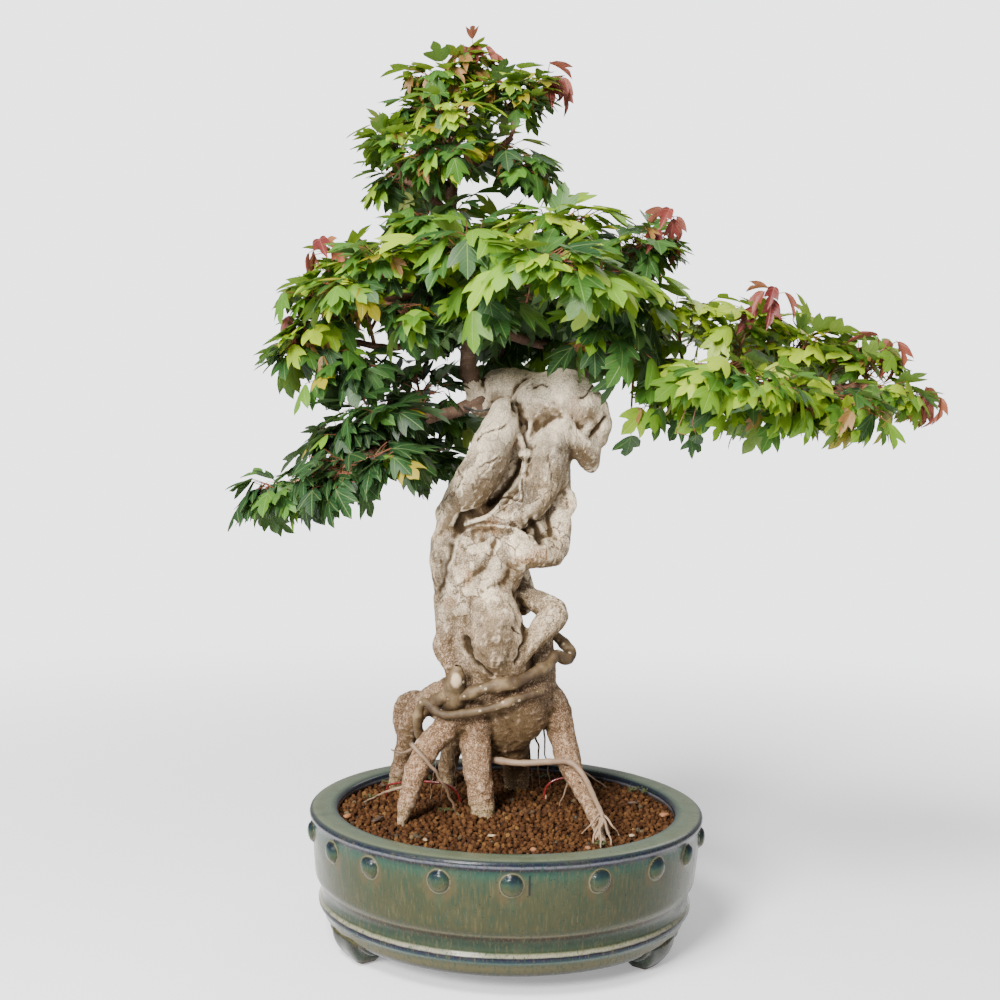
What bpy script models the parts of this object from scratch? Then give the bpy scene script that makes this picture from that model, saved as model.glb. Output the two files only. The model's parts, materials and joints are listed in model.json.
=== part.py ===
# Trident maple bonsai in its round drum pot, as plain solids for Blender 4.5. Metres, +Z up.
# It is laid out round the pot's axis, with the feet on z = 0 and the front towards -Y.
# At the end it all moves, so that the middle of its footprint is the origin.

import math
import random

import bmesh
import bpy
from mathutils import Matrix, Vector
from mathutils.bvhtree import BVHTree

mm = 0.001
up = Vector((0, 0, 1))
touching_gap = 0.35 * mm
shortest_edge = 0.02 * mm

# Pot: a turned drum with a wide flat lip, studs under it and three feet
rim_radius = 157 * mm
lip_radius = 134 * mm
lip_underside = 93 * mm
pot_height = 104 * mm
pot_underside = 15 * mm
underside_radius = 140 * mm
floor_top = 25 * mm
floor_radius = 132 * mm
belly_inner_radius = 144 * mm
belly_top = 84 * mm
belly_bottom = 38 * mm
drain_radius = 14 * mm
turn_steps = 32
# The wall's radius and height, down from the rim, in millimetres: drum, groove, lower band and bead
pot_wall = [(155, 97), (151.7, 52), (149, 46.5), (147, 43), (147, 35), (148.6, 30.5), (145.5, 25)]
stud_count = 15
stud_first_angle = 1.5
stud_height = 87 * mm
stud_middle_radius = 154.5 * mm
stud_base_radius = 9 * mm
stud_top_radius = 4.9 * mm
stud_depth = 8 * mm
foot_angles = {"front_left": -58, "front_right": 58, "back": 180}
foot_width = 58 * mm
foot_bottom_share = 0.72
foot_bottom_inset = 9 * mm
foot_corner = 6 * mm
foot_sunk = 4 * mm
foot_reach = 24 * mm
foot_outer_radius = 141 * mm
screen_radius = 24 * mm
screen_thickness = 1 * mm
screen_play = 1 * mm

# Soil: its edge meets the lip's inner edge, and it rises a little to the middle
soil_edge_height = 97 * mm
soil_rise = 6 * mm
soil_rings = [0, 40 * mm, 78 * mm, 110 * mm]
soil_lift = 1.3 * mm
soil_shift = 2 * mm
root_depth_height = 88 * mm
# A root's hole, in millimetres: below this height it follows the root, wider and deeper than it
root_hole_top = 130
root_hole_share = 1.1
root_hole_wider = 1
root_hole_deeper = 1.2

# Trunk: points are x, y, z and radius, in millimetres
bark_voxel = 2.4 * mm
bark_sides = 12
bark_smoothing = 7
branch_sides = 6
trunk_triangles = 1500
# How far the dome on a limb's end reaches out, and how wide it is there, as shares of the radius
dome_steps = [(0.5, 0.8), (0.85, 0.4)]
thick_limbs = {
    "core": [
        (1, 25, 145, 18), (-7, 10, 181, 33), (-22, 5, 227, 35), (-24, 5, 267, 32), (-26, 5, 303, 34),
        (-12, 8, 338, 31), (9, 10, 372, 29), (30, 8, 406, 32), (40, 8, 424, 26)],
    "left_lobe": [
        (-48, -5, 331, 15), (-34, -18, 352, 20), (-21, -22, 376, 21), (-11, -20, 400, 20), (-5, -8, 421, 14)],
    "left_flank": [(-44, 0, 331, 16), (-50, 0, 299, 14), (-46, 0, 267, 12)],
    "right_lobe": [
        (35, -5, 313, 12), (28, -12, 341, 15), (27, -12, 365, 15), (30, -14, 385, 14), (36, -14, 404, 14)],
    "elbow": [(3, -14, 308, 15), (22, -10, 308, 13), (33, -6, 308, 11)],
    "head": [(24, 0, 424, 27), (44, -5, 424, 26), (56, -2, 409, 20), (54, 2, 392, 16), (58, 3, 381, 9)],
    "burl": [(16, 25, 432, 18), (-8, 28, 437, 17), (-21, 28, 432, 13), (-29, 25, 425, 9)],
    "belly": [(-16, -16, 266, 21), (-9, -20, 235, 24), (-3, -15, 210, 20)],
    "haunch": [(20, 0, 232, 15), (29, 0, 208, 17), (26, 5, 187, 16)],
    "base": [(5, 0, 196, 32), (10, 2, 176, 24), (6, 8, 158, 14)],
    "back_rib": [
        (-7, 28, 182, 21), (-28, 34, 230, 21), (-17, 36, 280, 19), (-10, 34, 329, 19), (14, 34, 371, 19),
        (25, 30, 404, 19)],
    "back_swirl": [(8, 25, 265, 14), (-5, 38, 296, 14), (-26, 42, 320, 13), (-35, 36, 345, 11)],
    "loop": [
        (4, 15, 274, 12), (20, 5, 266, 10.5), (36, -5, 263, 11), (36, -12, 253, 10), (28, -20, 240, 8.5),
        (16, -28, 227, 6.5), (2, -34, 216, 5)],
    "upper_rope": [
        (37, 8, 239, 4), (50, 2, 230, 4.2), (51, -6, 224, 4.2), (40, -20, 227, 4), (30, -30, 222, 4.8),
        (12, -38, 214, 5), (-7, -43, 209, 5), (-26, -42, 203, 5), (-42, -36, 196, 5.4), (-54, -28, 189, 6)],
    "lower_rope": [
        (29, -33, 206, 4.2), (9, -40, 201, 4.4), (-14, -43, 194, 4.4), (-36, -40, 187, 4.4),
        (-51, -36, 184, 4.2), (-60, -30, 188, 4.2), (-67, -24, 184, 4.2), (-70, -18, 169, 4.4),
        (-68, -12, 156, 4.2)],
    "cut_stub": [(-47, -26, 196, 7), (-41, -36, 208, 6.5), (-37, -42, 218, 6)],
    "root_front_left": [
        (-37, -10, 189, 17), (-49, -22, 169, 13.4), (-62, -32, 155, 12.5), (-71, -42, 136, 11),
        (-77, -48, 116, 9), (-80, -51, 102, 7), (-81, -53, 88, 5)],
    "root_front": [
        (-23, -5, 188, 19), (-26, -14, 166, 13.5), (-24, -20, 139, 12), (-20, -25, 115, 11),
        (-18, -28, 102, 10), (-17, -29, 88, 8)],
    "root_left": [
        (-47, 12, 190, 13), (-66, 25, 180, 10), (-76, 35, 168, 9), (-83, 45, 148, 8.7), (-88, 52, 124, 8),
        (-92, 56, 104, 7.4), (-93, 58, 88, 6)],
    "root_left_loop": [
        (-56, 32, 170, 7), (-72, 46, 177, 7), (-85, 55, 174, 7.6), (-90, 58, 162, 7), (-87, 56, 148, 7)],
    "root_right": [
        (21, 8, 195, 16), (35, 6, 183, 12), (44, 4, 159, 10), (50, -4, 139, 8.8), (56, -16, 127, 7),
        (64, -42, 115, 5.4), (69, -66, 106, 4.6), (71, -78, 98, 4), (72, -81, 88, 3.4)],
    "root_back_left": [(-31, 25, 182, 14.7), (-43, 48, 148, 10), (-49, 62, 119, 8.4), (-52, 66, 88, 7)],
    "root_back_right": [
        (30, 25, 187, 12), (42, 48, 158, 9), (54, 62, 129, 7.6), (61, 70, 104, 6.5), (62, 72, 88, 5.5)],
    "tap": [(4, 20, 167, 20), (4, 28, 142, 14), (3, 32, 119, 15), (3, 32, 88, 12)],
}
thin_limbs = {
    "leader": [
        (-27, 25, 423, 9), (-37, 20, 449, 7), (-37, 15, 470, 6.4), (-29, 8, 492, 6), (-31, 5, 517, 5.5),
        (-44, 5, 544, 5), (-52, 5, 571, 4.5), (-53, 5, 599, 4), (-50, 5, 626, 3.3), (-45, 5, 650, 2.6)],
    "left_upper": [
        (-30, 10, 486, 5), (-53, 8, 489, 4), (-72, 4, 481, 3.6), (-87, 0, 469, 3.2), (-103, -5, 466, 2.8),
        (-126, -10, 470, 2.4)],
    "left_lower": [
        (-26, 25, 429, 6), (-48, 20, 417, 5), (-75, 10, 410, 4.4), (-106, 0, 397, 3.6), (-133, -5, 381, 3),
        (-160, -8, 361, 2.5)],
    "right_upper": [
        (-31, 5, 517, 5), (-6, 0, 525, 4.7), (21, -8, 523, 4.3), (52, -14, 520, 3.6), (75, -16, 529, 2.8)],
    "right_long": [
        (41, 22, 426, 10), (56, 24, 451, 7.2), (83, 15, 461, 6), (119, 6, 457, 5.2), (158, 0, 448, 4.3),
        (197, -4, 442, 3.6), (236, -6, 441, 3), (268, -6, 444, 2.4)],
    "middle_back": [(-30, 8, 491, 5), (-5, 30, 480, 4.2), (24, 50, 473, 3.5), (62, 60, 474, 2.8)],
    "front_middle": [(-31, 5, 517, 4.5), (-22, -40, 519, 3.8), (0, -80, 514, 3.2), (15, -105, 508, 2.6)],
    "left_front": [(-29, 8, 495, 4.5), (-50, -20, 503, 3.8), (-80, -50, 503, 3), (-100, -65, 498, 2.5)],
    "back_left": [(-48, 5, 555, 4), (-70, 40, 545, 3.4), (-95, 75, 532, 2.8)],
    "back_middle": [(-31, 5, 517, 4.5), (-15, 45, 520, 3.8), (10, 85, 515, 3), (25, 105, 508, 2.5)],
    "right_front": [(119, 6, 457, 4), (145, -25, 455, 3.2), (170, -50, 448, 2.6)],
    "right_back": [(158, 0, 448, 3.8), (185, 35, 455, 3), (210, 55, 452, 2.5)],
    "left_lower_back": [(-75, 10, 410, 4), (-100, 45, 402, 3.2), (-125, 70, 392, 2.6)],
    "left_lower_front": [(-75, 10, 410, 4), (-95, -25, 396, 3), (-115, -45, 380, 2.5)],
    "crown_left": [(-52, 5, 571, 3.4), (-75, -5, 588, 2.8), (-92, -8, 598, 2.3)],
    "crown_right": [(-53, 5, 599, 3.4), (-30, -10, 612, 2.6), (-8, -15, 628, 2.2)],
    "crown_front": [(-52, 5, 580, 3.4), (-50, -28, 595, 2.5)],
    "crown_back": [(-53, 5, 590, 3.4), (-52, 38, 600, 2.5)],
    "thin_root": [
        (-22, 2, 143, 3), (-6, -4, 138, 2.8), (18, -10, 136, 2.6), (38, -12, 138, 2.6), (50, -8, 140, 2.6)],
}

# Sprays: the branch each grows from, how far along it, and where its twigs end, in millimetres
sprays = {
    "crown_top": ("leader", 1.0, [(-38, 0, 684), (-70, -12, 672)]),
    "crown_rear_left": ("leader", 0.9, [(-82, 12, 652), (-60, 52, 650)]),
    "crown_left": ("crown_left", 1.0, [(-100, -14, 620), (-92, 12, 594)]),
    "crown_front": ("crown_front", 1.0, [(-52, -58, 638), (-62, -60, 602)]),
    "crown_right": ("crown_right", 1.0, [(8, -12, 664), (-14, -26, 660)]),
    "crown_low_right": ("crown_right", 0.6, [(6, -25, 604)]),
    "crown_back": ("crown_back", 1.0, [(-30, 60, 628), (-80, 50, 614)]),
    "neck_front": ("leader", 0.62, [(-74, -45, 556)]),
    "left_tip": ("left_upper", 1.0, [(-158, -15, 502), (-152, -10, 478)]),
    "left_top": ("left_upper", 0.85, [(-132, -22, 526), (-128, 24, 522)]),
    "left_front": ("left_front", 1.0, [(-130, -76, 502), (-95, -95, 524)]),
    "left_droop": ("left_upper", 0.92, [(-178, -5, 458), (-130, -28, 446)]),
    "front_left": ("front_middle", 0.7, [(-42, -100, 532)]),
    "front": ("front_middle", 1.0, [(12, -134, 520), (48, -115, 514)]),
    "middle_top": ("right_upper", 0.5, [(30, -40, 561)]),
    "middle_right": ("right_upper", 0.8, [(76, -60, 508), (70, -60, 470)]),
    "right_top": ("right_upper", 1.0, [(98, -24, 545), (88, 20, 545)]),
    "back_top": ("back_middle", 0.6, [(-15, 60, 562)]),
    "back": ("back_middle", 1.0, [(42, 110, 543), (0, 128, 494)]),
    "back_left": ("back_left", 1.0, [(-75, 88, 560), (-120, 95, 543)]),
    "back_right": ("middle_back", 1.0, [(98, 80, 484), (42, 92, 466)]),
    "low_left_inner": ("left_lower", 0.35, [(-72, -22, 406)]),
    "low_left_middle": ("left_lower", 0.7, [(-94, -42, 414), (-132, -18, 396)]),
    "low_left_tip": ("left_lower", 1.0, [(-196, -10, 346), (-158, -30, 352)]),
    "low_left_front": ("left_lower_front", 1.0, [(-136, -62, 364), (-88, -58, 376)]),
    "low_left_droop": ("left_lower", 0.5, [(-74, -20, 362)]),
    "low_left_back": ("left_lower_back", 1.0, [(-148, 85, 385), (-97, 82, 416)]),
    "right_inner": ("right_long", 0.28, [(98, -32, 438), (90, -28, 424)]),
    "right_upper": ("right_long", 0.45, [(128, -12, 496)]),
    "right_front": ("right_front", 1.0, [(184, -74, 440), (138, -68, 444)]),
    "right_middle": ("right_long", 0.6, [(182, -18, 490), (148, -24, 426)]),
    "right_outer": ("right_long", 0.76, [(225, 2, 478), (200, -38, 420)]),
    "right_far": ("right_long", 0.9, [(242, -36, 426), (262, 30, 468)]),
    "right_tip": ("right_long", 1.0, [(306, -5, 434), (276, 0, 460), (262, -24, 422)]),
    "right_back": ("right_back", 1.0, [(234, 68, 456), (177, 62, 478)]),
}
# Red young shoots: the twig each ends, by spray and number, and where its own end is
red_shoots = {
    "apex": ("crown_top", 0, (-36, -3, 708)),
    "crown": ("crown_right", 0, (27, -14, 676)),
    "left_top": ("left_top", 0, (-150, -28, 541)),
    "left_tip": ("left_tip", 1, (-171, -14, 484)),
    "middle": ("right_top", 0, (115, -28, 558)),
    "right_middle": ("right_middle", 0, (192, -26, 508)),
    "right_outer": ("right_tip", 1, (292, 2, 474)),
    "right_end": ("right_tip", 0, (326, -8, 434)),
}
canopy_middle = Vector((20, 0, 460)) * mm
most_main_leaves = 5
most_side_leaves = 3
twig_radius = 1.8 * mm
twig_taper = 0.15
twig_rise = 0.10
twig_sway = 0.06
twig_steps = 3
twig_start_step = 0.3 * mm
fork_shares = [0.2, 0.28, 0.36, 0.44, 0.52, 0.6]
# Leaf pairs are counted back from a twig's tip. The two of a pair stand a little apart
tip_leaf_back = 2.5 * mm
first_pair_back = 5 * mm
pair_offset = 2.2 * mm
leafy_share = 0.75
leaf_thickness = 0.8 * mm
leaf_arch_range = (0.05, 0.22)
stalk_length_range = (11 * mm, 18 * mm)
green_leaves = {"lengths": (27 * mm, 37 * mm), "spacing": 30 * mm, "droop": 0.22}
red_leaves = {"lengths": (17 * mm, 23 * mm), "spacing": 7 * mm, "droop": 0.9}
# Half of a leaf's outline, as shares of its length: the side lobe's tip and the notch beside it
leaf_half_outline = [(0.46, 0.72), (0.17, 0.64)]
stalk_half_width = 0.8 * mm
stalk_end_share = 0.6
# A leaf keeps clear of other pieces by the margin that a larger and thicker copy of it gives
margin_size = 1.05
margin_spread = 1.08
margin_thickness = 3.2 * mm
margin_from_twig = 4 * mm
# It keeps clear of its own twigs with the blade alone, because its stalk joins one of them
blade_margin_spread = 1.05
blade_margin_thickness = 2.4 * mm
blade_margin_stalk = 1 * mm

# Tie wire, laid over the roots, in millimetres
wire_radius = 0.9 * mm
wire_hole_radius = 1.6
wire_hole_deeper = 0.5
wire_hole_length = 20
tie_wires = {
    "tie_wire_left": [
        (-98, 32, 90), (-98, 32, 106), (-90, 24, 112), (-68, 8, 118), (-48, 2, 117), (-38, 4, 107),
        (-38, 4, 90)],
    "tie_wire_right": [
        (31, 12, 90), (31, 12, 109), (36, 10, 119), (48, 10, 123), (56, 7, 122), (63, -2, 117),
        (70, -14, 107), (70, -14, 90)],
}


def clear_scene():
    for obj in list(bpy.data.objects):
        bpy.data.objects.remove(obj)


def new_collection(name, hidden=False):
    collection = bpy.data.collections.new(name)
    collection.hide_render = hidden
    bpy.context.scene.collection.children.link(collection)
    return collection


def new_material(name, colour, roughness, metallic=0.0):
    material = bpy.data.materials.new(name)
    material.use_nodes = True
    shader = material.node_tree.nodes["Principled BSDF"]
    shader.inputs["Base Color"].default_value = (*colour, 1)
    shader.inputs["Roughness"].default_value = roughness
    shader.inputs["Metallic"].default_value = metallic
    return material


def new_object(name, data, collection, material=None):
    obj = bpy.data.objects.new(name, data)
    collection.objects.link(obj)
    if material:
        data.materials.clear()
        data.materials.append(material)
    return obj


def settled(obj):
    """The mesh that the object shows, as a new mesh without slivers."""
    bpy.context.view_layer.update()
    graph = bpy.context.evaluated_depsgraph_get()
    mesh = bpy.data.meshes.new_from_object(obj.evaluated_get(graph))
    work = bmesh.new()
    work.from_mesh(mesh)
    bmesh.ops.remove_doubles(work, verts=work.verts, dist=shortest_edge)
    bmesh.ops.dissolve_degenerate(work, edges=work.edges, dist=shortest_edge)
    work.to_mesh(mesh)
    work.free()
    return mesh


def settle(obj):
    """Applies the object's modifiers, and makes a curve a mesh."""
    mesh = settled(obj)
    name = obj.name
    collection = obj.users_collection[0]
    place = obj.matrix_world.copy()
    bpy.data.objects.remove(obj)
    plain = new_object(name, mesh, collection)
    plain.matrix_world = place
    return plain


def turned(name, profile, collection, closed):
    """A profile of radius and height, turned round the Z axis."""
    mesh = bpy.data.meshes.new(name)
    work = bmesh.new()
    points = [work.verts.new((radius, 0, height)) for radius, height in profile]
    for first, second in zip(points, points[1:] + points[:1] if closed else points[1:]):
        work.edges.new((first, second))
    work.to_mesh(mesh)
    work.free()
    obj = new_object(name, mesh, collection)
    screw = obj.modifiers.new("Turn", "SCREW")
    screw.steps = turn_steps
    screw.render_steps = turn_steps
    screw.use_merge_vertices = True
    screw.merge_threshold = 0.01 * mm
    return settle(obj)


def rounded(route):
    """The route with each end drawn out to a dome, unless it is a root's end in the soil."""
    def dome(end, before):
        place = Vector(end[:3])
        way = (place - Vector(before[:3])).normalized()
        radius = end[3]
        return [(*(place + way * radius * reach), radius * share) for reach, share in dome_steps]

    longer = list(reversed(dome(route[0], route[1]))) + route
    if route[-1][2] * mm > root_depth_height:
        longer += dome(route[-1], route[-2])
    return longer


def tubes(name, routes, collection, sides, smooth=True):
    """One tube for each route of points with radii, in millimetres, all in one mesh."""
    curve = bpy.data.curves.new(name, "CURVE")
    curve.dimensions = "3D"
    curve.bevel_depth = mm
    curve.bevel_resolution = (sides - 4) // 2
    curve.resolution_u = 5
    curve.use_fill_caps = True
    for route in routes:
        spline = curve.splines.new("BEZIER" if smooth else "POLY")
        points = spline.bezier_points if smooth else spline.points
        points.add(len(route) - 1)
        for point, (x, y, z, radius) in zip(points, route):
            place = Vector((x, y, z)) * mm
            point.radius = radius
            if smooth:
                point.co = place
                point.handle_left_type = "AUTO"
                point.handle_right_type = "AUTO"
            else:
                point.co = (*place, 1)
    return settle(new_object(name, curve, collection))


def is_one_body(mesh):
    """Whether each edge has two faces, and every face can be reached from the first."""
    work = bmesh.new()
    work.from_mesh(mesh)
    work.faces.ensure_lookup_table()
    closed = all(len(edge.link_faces) == 2 for edge in work.edges)
    reached = set(work.faces[:1])
    fresh = list(reached)
    while fresh:
        near = {other for edge in fresh.pop().edges for other in edge.link_faces} - reached
        reached |= near
        fresh += near
    whole = closed and len(reached) == len(work.faces)
    work.free()
    return whole


def closes(base, boolean):
    """Whether a solver joins everything into a closed mesh, and that solver set."""
    for solver in ("EXACT", "MANIFOLD"):
        boolean.solver = solver
        if is_one_body(settled(base)):
            return True
    return False


def join_by_boolean(base, others, operation, may_drop=False):
    """One Boolean with a collection of closed meshes, applied, with those objects removed."""
    helpers = new_collection(f"{base.name} helpers", hidden=True)
    for other in others:
        for old in list(other.users_collection):
            old.objects.unlink(other)
        helpers.objects.link(other)
        other.display_type = "WIRE"
    boolean = base.modifiers.new("Join", "BOOLEAN")
    boolean.operation = operation
    boolean.operand_type = "COLLECTION"
    boolean.collection = helpers
    if not closes(base, boolean) and may_drop:
        # A repeat that neither solver joins cleanly is left out
        for other in list(helpers.objects):
            helpers.objects.unlink(other)
            if closes(base, boolean):
                print(base.name, "drops", other.name)
                bpy.data.objects.remove(other)
                break
            helpers.objects.link(other)
    result = settle(base)
    for other in list(helpers.objects):
        bpy.data.objects.remove(other)
    bpy.data.collections.remove(helpers)
    return result


def round_the_pot(angle, radius, height):
    """The point at an angle in degrees from the front, positive to the right."""
    turn = math.radians(angle)
    return Vector((radius * math.sin(turn), -radius * math.cos(turn), height))


def facing_out(angle):
    """Turns -Y to the direction at an angle in degrees from the front."""
    return Matrix.Rotation(math.radians(angle), 4, "Z")


def make_stud(angle):
    """A low round stud, sunk into the wall."""
    mesh = bpy.data.meshes.new("stud")
    work = bmesh.new()
    bmesh.ops.create_cone(work, cap_ends=True, segments=7, radius1=stud_base_radius,
                          radius2=stud_top_radius, depth=stud_depth)
    work.to_mesh(mesh)
    work.free()
    stud = new_object("stud", mesh, bpy.context.scene.collection)
    stud.matrix_world = (Matrix.Translation(round_the_pot(angle, stud_middle_radius, stud_height))
                         @ facing_out(angle) @ Matrix.Rotation(math.pi / 2, 4, "X"))
    return stud


def make_foot(angle):
    """A low block under the edge, narrower and further in at the bottom."""
    mesh = bpy.data.meshes.new("foot")
    work = bmesh.new()
    bmesh.ops.create_cube(work, size=1)
    top = pot_underside + foot_sunk
    for point in work.verts:
        low = point.co.z < 0
        outer = point.co.y < 0
        width = foot_width * (foot_bottom_share if low else 1)
        inset = foot_bottom_inset if low else 0
        radius = foot_outer_radius - (inset if outer else foot_reach)
        point.co = Vector((math.copysign(width / 2, point.co.x), -radius, 0 if low else top))
    sides = [edge for edge in work.edges if abs(edge.verts[0].co.z - edge.verts[1].co.z) > mm]
    bmesh.ops.bevel(work, geom=sides, offset=foot_corner, segments=2, affect="EDGES", profile=0.5)
    for point in work.verts:
        # The outer side follows the pot's round
        point.co.y += point.co.x ** 2 / (2 * foot_outer_radius)
    work.to_mesh(mesh)
    work.free()
    foot = new_object("foot", mesh, bpy.context.scene.collection)
    foot.matrix_world = facing_out(angle)
    return foot


def make_pot(collection):
    outer = [
        (lip_radius, pot_height - 2.5 * mm), (lip_radius + 3 * mm, pot_height),
        (rim_radius - 2 * mm, pot_height),
        (rim_radius, pot_height - 2 * mm), (rim_radius - 0.4 * mm, pot_height - 5.5 * mm)]
    outer += [(radius * mm, height * mm) for radius, height in pot_wall]
    under = [(underside_radius, pot_underside), (drain_radius, pot_underside), (drain_radius, floor_top)]
    inner = [
        (floor_radius, floor_top), (belly_inner_radius, belly_bottom), (belly_inner_radius, belly_top),
        (lip_radius, lip_underside)]
    pot = turned("pot", outer + under + inner, collection, closed=True)
    studs = [make_stud(stud_first_angle + 360 / stud_count * number) for number in range(stud_count)]
    feet = [make_foot(angle) for angle in foot_angles.values()]
    return join_by_boolean(pot, studs + feet, "UNION")


def soil_height(radius):
    return soil_edge_height + soil_rise * (1 - (radius / lip_radius) ** 2)


def make_soil(collection, root_cutters):
    edge = lip_radius - touching_gap
    belly = belly_inner_radius - touching_gap
    bottom = floor_top + touching_gap
    over_screen = bottom + screen_thickness + touching_gap
    beside_screen = screen_radius + screen_play
    top = [(radius, soil_height(radius)) for radius in soil_rings]
    side = [
        (edge, soil_height(edge)), (edge, lip_underside - touching_gap), (belly, belly_top - touching_gap),
        (belly, belly_bottom + touching_gap), (floor_radius - touching_gap, bottom),
        (beside_screen, bottom), (beside_screen, over_screen), (0, over_screen)]
    soil = turned("soil", top + side, collection, closed=False)
    draw = random.Random(3)
    for point in soil.data.vertices:
        if point.co.z > soil_edge_height and point.co.xy.length < edge - soil_shift - mm:
            point.co.z += draw.uniform(-soil_lift, soil_lift)
            point.co.xy += Vector([draw.uniform(-soil_shift, soil_shift) for _ in range(2)])
    return join_by_boolean(soil, root_cutters, "DIFFERENCE")


def root_cutter(route):
    """A plain hole for a root's end, a little wider than it and along its own way into the soil."""
    low = [point for point in route if point[2] < root_hole_top]
    x, y, z, radius = low[-1]
    low = low[:-1] + [(x, y, z - root_hole_deeper, radius)]
    hole = [(x, y, z, root_hole_share * radius + root_hole_wider) for x, y, z, radius in low]
    return tubes("hole", [hole], bpy.context.scene.collection, 8, smooth=False)


def make_trunk(collection):
    bark = tubes("bark", [rounded(route) for route in thick_limbs.values()], collection, bark_sides)
    remesh = bark.modifiers.new("Grow together", "REMESH")
    remesh.mode = "VOXEL"
    remesh.voxel_size = bark_voxel
    smooth = bark.modifiers.new("Smooth", "SMOOTH")
    smooth.factor = 0.5
    smooth.iterations = bark_smoothing
    bark = settle(bark)
    decimate = bark.modifiers.new("Facets", "DECIMATE")
    decimate.ratio = trunk_triangles / (2 * len(bark.data.polygons))
    bark.name = "trunk"
    bark = settle(bark)
    branches = [tubes(name, [route], collection, branch_sides, smooth=False)
                for name, route in thin_limbs.items()]
    return join_by_boolean(bark, branches, "UNION")


def along(route, share):
    """The point at a share of a route's length, and the way it runs there."""
    points = [Vector(point[:3]) * mm for point in route]
    lengths = [(b - a).length for a, b in zip(points, points[1:])]
    left = share * sum(lengths)
    for start, end, length in zip(points, points[1:], lengths):
        if left <= length:
            return start.lerp(end, left / length), (end - start).normalized()
        left -= length
    return points[-1], (points[-1] - points[-2]).normalized()


def twig_route(start, end, draw):
    """Points from start to end that bow up a little, in millimetres, with radii."""
    way = end - start
    side = way.cross(up).normalized()
    bow = way.length * (twig_rise * up + draw.uniform(-twig_sway, twig_sway) * side)
    route = []
    for number in range(twig_steps + 1):
        share = number / twig_steps
        place = start.lerp(end, share) + math.sin(math.pi * share) * bow
        radius = twig_radius * (1 - twig_taper * share)
        route.append((*(place / mm), radius / mm))
    return route


def leaf_points(length, stalk, spread=1.0):
    """A leaf's outline, from the end of its stalk in the twig's middle and round by the right."""
    half = [(stalk_end_share * stalk_half_width, -stalk), (stalk_half_width, 0)]
    half += [(x * length * spread, y * length) for x, y in leaf_half_outline]
    return half + [(0, length)] + [(-x, y) for x, y in reversed(half)]


def leaf_body(outline, length, arch, thickness):
    """The leaf as a bent plate, with its triangles alike on both faces."""
    work = bmesh.new()
    face = work.faces.new([work.verts.new((x, y, 0)) for x, y in outline])
    bmesh.ops.triangulate(work, faces=[face])
    for point in work.verts:
        along_blade = max(point.co.y, 0) / length
        point.co.z = -arch * length * along_blade ** 2 - 0.5 * arch * abs(point.co.x)
    bmesh.ops.recalc_face_normals(work, faces=work.faces)
    bmesh.ops.solidify(work, geom=work.faces, thickness=thickness)
    bmesh.ops.recalc_face_normals(work, faces=work.faces)
    middle = sum((point.co.z for point in work.verts if point.co.y < -stalk_half_width), 0) / 4
    bmesh.ops.translate(work, verts=work.verts, vec=(0, 0, -middle))
    return work


def frame_along(way, normal):
    """Turns Y to the way and Z as near the normal as it goes."""
    forward = way.normalized()
    across = forward.cross(normal).normalized()
    return Matrix((across, forward, across.cross(forward))).transposed()


class Space:
    """What stands already, so that a new leaf or twig can be kept clear of it."""

    def __init__(self):
        self.taken = []

    def add(self, points, faces, owner):
        low = Vector([min(point[axis] for point in points) for axis in range(3)])
        high = Vector([max(point[axis] for point in points) for axis in range(3)])
        self.taken.append((low, high, BVHTree.FromPolygons(points, faces), owner))

    def is_clear(self, points, faces, skip=()):
        low = Vector([min(point[axis] for point in points) for axis in range(3)])
        high = Vector([max(point[axis] for point in points) for axis in range(3)])
        tree = BVHTree.FromPolygons(points, faces)
        for other_low, other_high, other, owner in self.taken:
            if owner in skip or any(low[n] > other_high[n] or high[n] < other_low[n] for n in range(3)):
                continue
            if tree.overlap(other):
                return False
        return True


def placed(work, place):
    work.verts.ensure_lookup_table()
    points = [place @ point.co for point in work.verts]
    faces = [[point.index for point in face.verts] for face in work.faces]
    return points, faces


def try_leaf(space, name, foot, way, normal, length, stalk, arch):
    """A leaf at its foot on the twig, or None where it would cross something."""
    place = Matrix.Translation(foot) @ frame_along(way, normal).to_4x4() @ Matrix.Translation((0, stalk, 0))
    larger = length * margin_size
    fat_outline = leaf_points(larger, stalk - margin_from_twig, margin_spread)
    fat = leaf_body(fat_outline, length, arch, margin_thickness)
    points, faces = placed(fat, place)
    fat.free()
    if not space.is_clear(points, faces, skip=(name,)):
        return None
    blade_outline = leaf_points(larger, blade_margin_stalk, blade_margin_spread)
    blade = leaf_body(blade_outline, length, arch, blade_margin_thickness)
    blade_points, blade_faces = placed(blade, place)
    blade.free()
    if not space.is_clear(blade_points, blade_faces):
        return None
    slim = leaf_body(leaf_points(length, stalk), length, arch, leaf_thickness)
    mesh = bpy.data.meshes.new("leaf")
    slim.to_mesh(mesh)
    slim.free()
    mesh.transform(place)
    space.add(points, faces, name + " leaf")
    return new_object("leaf", mesh, bpy.context.scene.collection)


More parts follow.
